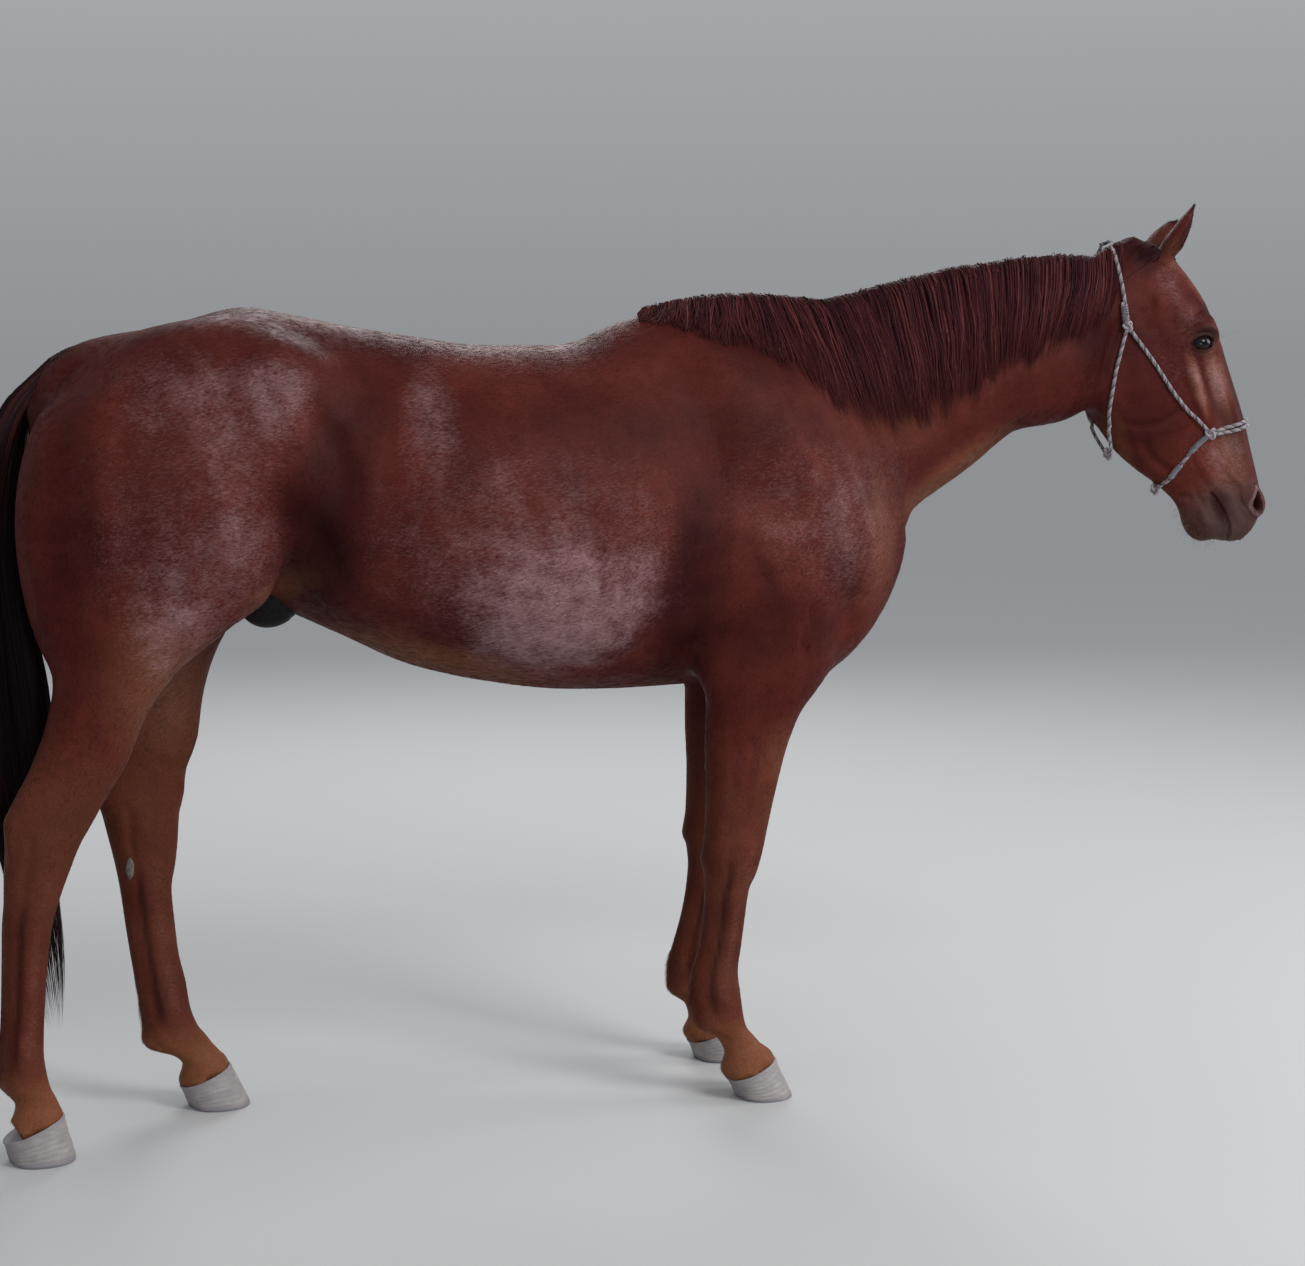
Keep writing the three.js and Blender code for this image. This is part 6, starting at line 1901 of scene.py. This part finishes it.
for side, word in ((RIGHT, "right"), (LEFT, "left")):
    rope_piece("rope_throat_" + word, laid_rope(rope_route(mirrored(throat, side))), "halter_throat_" + word)
    rope_piece("rope_cheek_" + word, laid_rope(rope_route(mirrored(cheek, side))), "halter_cheek_" + word)
    chin_line = rope_route(mirrored(chin, side))
    chin_parts = laid_rope(chin_line) + whipping(chin_line[6:30], ROPE + 0.9, 3.4, 1.2)
    chin_parts += whipping(chin_line[46:64], ROPE + 0.9, 3.4, 1.2)
    for _ in range(34):
        place = chin_line[random.integers(8, len(chin_line) - 6)]
        out = np.array(skin_tree.find_nearest(Vector(place))[1])
        way = unit(out * random.uniform(0.2, 1.0) + random.normal(0, 0.7, 3))
        bend = random.normal(0, 3, 3)
        t = np.linspace(0, 1, 6)[:, None]
        thread = place + way * t * random.uniform(6, 16) + bend * t ** 2
        chin_parts.append((*tube(thread, np.linspace(0.45, 0.15, 6), 4), 0))
    rope_piece("rope_chin_" + word, chin_parts, "halter_chin_" + word)
    for knot_name, at, size in (("cheek", (116, -108, 86), 9.5), ("nose", (390, -20, 60), 11.0)):
        place = head_point(at[0], at[1], side * at[2])
        hit, normal = skin_tree.find_nearest(Vector(place))[:2]
        out = np.array(normal)
        first = unit(np.cross(out, HEAD_ALONG))
        turned = np.array([first, np.cross(out, first), out * 0.75])
        rope_piece(f"knot_{knot_name}_{word}", knot(np.array(hit) + out * 6.5, size, turned),
                   f"halter_{knot_name}_knot_{word}")
for knot_name, at, size in (("throat", (350, -216, 0), 12.5), ("chin", (458, -152, 0), 11.0)):
    turned = np.array([HEAD_SIDE, HEAD_ALONG, HEAD_FRONT])
    rope_piece("knot_" + knot_name, knot(head_point(*at), size, turned), f"halter_{knot_name}_knot")

# -------------------------------------------------------------------------------------- details
# Lashes on the upper lids, and long feeler hairs about the lips, chin and eyes: dark fine solid
# hairs rooted in the skin. Made another way, as closed curved locks.
hairs = []


def skin_at(start, aim):
    """The place on the skin that a ray meets and the way out of the skin there, if it meets any."""
    hit, normal = skin_tree.ray_cast(Vector(start), Vector(aim))[:2]
    return (None, None) if hit is None else (np.array(hit), np.array(normal))


def grow(root, way, bend_to, length, half_width, bend, tone):
    hairs.append(np.r_[root, unit(way), bend_to, length, half_width, bend, tone])


for eye in eyes:
    for share in np.linspace(-0.82, 0.88, 46):
        u = 1.06 * share * eye.OPENING[0]
        v = 1.06 * eye.OPENING[1] * (1 - abs(share) ** eye.POINTED) ** (1 / eye.POINTED)
        w = float(eye.lid_height(np.float64(u), np.float64(v))) + 0.9
        way = eye.out - 0.30 * eye.high + eye.long * (0.45 * share + random.normal(0, 0.12))
        root = eye.centre + np.array([u, v, w]) @ eye.turn
        grow(root, way, eye.high, random.uniform(9, 15), 0.28, 2.2, 0)
    for _ in range(9):
        spin = random.uniform(0, 2 * math.pi)
        start = eye.centre + np.array([44 * math.cos(spin), 34 * math.sin(spin), 60]) @ eye.turn
        root, out = skin_at(start, -eye.out)
        if root is not None:
            way = out + 0.5 * eye.long * math.cos(spin) + 0.5 * eye.high * math.sin(spin)
            grow(root, way, eye.high, random.uniform(28, 52), 0.22, 5, 0.1)
for _ in range(150):
    along, side = random.uniform(488, 606), random.uniform(-40, 40)
    root, out = skin_at(head_point(along, -220, side), HEAD_FRONT)
    if root is not None:
        grow(root, out + 0.25 * HEAD_ALONG + random.normal(0, 0.25, 3), HEAD_ALONG,
             random.uniform(10, 40), 0.2, 4, random.uniform(0.3, 1.0))
for _ in range(110):
    side = random.choice((RIGHT, LEFT))
    along, front = random.uniform(520, 600), random.uniform(-70, -8)
    root, out = skin_at(head_point(along, front, side * 150), -side * HEAD_SIDE)
    if root is not None:
        grow(root, out + 0.5 * HEAD_ALONG + random.normal(0, 0.2, 3), HEAD_FRONT,
             random.uniform(7, 22), 0.18, 3, random.uniform(0.2, 0.9))
hairs = np.array(hairs)
roots, ways, outs = hairs[:, :3], hairs[:, 3:6], hairs[:, 6:9]
length, thin, bend, tone = hairs[:, 9:].T[..., None, None]
outs = unit(outs - ways * (outs * ways).sum(1, keepdims=True))
s = np.linspace(0, 1, 6)[None, :, None]
paths = roots[:, None] - ways[:, None] * 1.5 + ways[:, None] * s * length + outs[:, None] * s ** 2 * bend
wide = (thin * (1 - 0.75 * s))[..., 0]
mesh, each = hair_mesh("feelers", paths, np.repeat(outs[:, None], 6, 1), wide, wide, unrolled("head", roots))
add_values(mesh, "shade", np.repeat(tone.ravel(), each))
feeler = Nodes("feeler_hair")
pale = feeler.times(feeler.point("shade"), feeler.ramp(feeler.noise(300), 0.2, 0.7))
feeler.finished(feeler.mix(pale, (0.008, 0.005, 0.005), (0.30, 0.22, 0.18)), 0.4)
new_piece("feelers", mesh, feeler.material, "mane_hair")

# Chestnuts: a small rough pad of horn that grows from the skin inside each forearm and each hock.
# Made another way, as flattened balls of points laid on the skin.
PADS = [("foreleg_right", 610), ("foreleg_left", 610), ("hindleg_right", 470), ("hindleg_left", 470)]
ball, faces = round_ball(14, 24)
rough = 1 + 0.10 * np.sin(9 * ball[:, 0] + 5 * ball[:, 1]) * np.sin(7 * ball[:, 1] - 3 * ball[:, 0])
parts = []
for name, height in PADS:
    stance = stances[name]
    inside = stance.centre(height) - (0.55 * stance.half_depth(height), stance.side * 120, 0)
    root, out = skin_at(inside, (0, stance.side, 0))
    first = unit(np.cross(out, (1, 0, 0)))
    turned = np.array([first, np.cross(out, first), out])
    parts.append((root + (ball * (21, 8, 4) * rough[:, None]) @ turned, faces))
pad = Nodes("chestnut_horn")
crust = pad.ramp(pad.noise(140, 4, 0.7), 0.35, 0.65)
pad.finished(pad.mix(crust, (0.085, 0.066, 0.058), (0.20, 0.165, 0.145)), 0.7,
             Normal=pad.bump(crust, 0.001, 0.6))
new_piece("chestnuts", triangle_mesh("chestnuts", *joined(parts)), pad.material, "hoof")


# -------------------------------------------------------------------------------------- stage
# A pale plain floor, four large soft lamps and a light sky, and the camera beside the horse's
# right flank, a little behind its middle and level with its back.
bpy.ops.mesh.primitive_plane_add(size=240, location=(0, 0, 0))
floor = bpy.context.object
floor.name = "floor"
floor.data.materials.append(Nodes("pale_floor").finished((0.492, 0.495, 0.494, 1), 0.9))

world = bpy.data.worlds.new("soft_sky")
world.use_nodes = True
world.node_tree.nodes["Background"].inputs["Color"].default_value = (0.93, 0.96, 1.0, 1)
sky = world.node_tree
facing = sky.nodes.new("ShaderNodeSeparateXYZ")
sky.links.new(sky.nodes.new("ShaderNodeTexCoord").outputs["Generated"], facing.inputs[0])
climb = sky.nodes.new("ShaderNodeMapRange")
for key, value in (("From Min", 0.0), ("From Max", 0.35), ("To Min", 0.292), ("To Max", 0.56)):
    climb.inputs[key].default_value = value
sky.links.new(facing.outputs["Z"], climb.inputs["Value"])
sky.links.new(climb.outputs[0], sky.nodes["Background"].inputs["Strength"])
bpy.context.scene.world = world
bpy.context.scene.view_settings.view_transform = "Standard"

for name, place, target, size, power in (
        ("key_lamp", (2.6, -4.4, 4.4), (0.1, 0.0, 1.0), 2.2, 210),
        ("back_lamp", (0.8, 5.0, 4.4), (0.0, 0.0, 1.2), 2.4, 125),
        ("low_lamp", (0.2, -6.2, 0.9), (0.0, 0.0, 0.9), 2.0, 52),
        ("front_lamp", (5.0, -0.6, 2.6), (0.6, 0.0, 1.1), 2.5, 90)):
    lamp_data = bpy.data.lights.new(name, "AREA")
    lamp_data.size = size
    lamp_data.energy = power
    lamp = bpy.data.objects.new(name, lamp_data)
    lamp.location = place
    lamp.rotation_euler = (Vector(target) - Vector(place)).to_track_quat("-Z", "Y").to_euler()
    bpy.context.collection.objects.link(lamp)

CAMERA_PLACE = placed([(-1020.0, -4575.0, 1383.0)])[0]
CAMERA_YAW, CAMERA_DIP = math.radians(17.4), math.radians(5.89)
camera_data = bpy.data.cameras.new("camera")
camera_data.sensor_width = 36
camera_data.lens = 68.97
camera = bpy.data.objects.new("camera", camera_data)
camera.location = CAMERA_PLACE
camera.rotation_euler = (math.pi / 2 - CAMERA_DIP, 0, -CAMERA_YAW)
bpy.context.collection.objects.link(camera)
bpy.context.scene.camera = camera

bpy.context.view_layer.update()
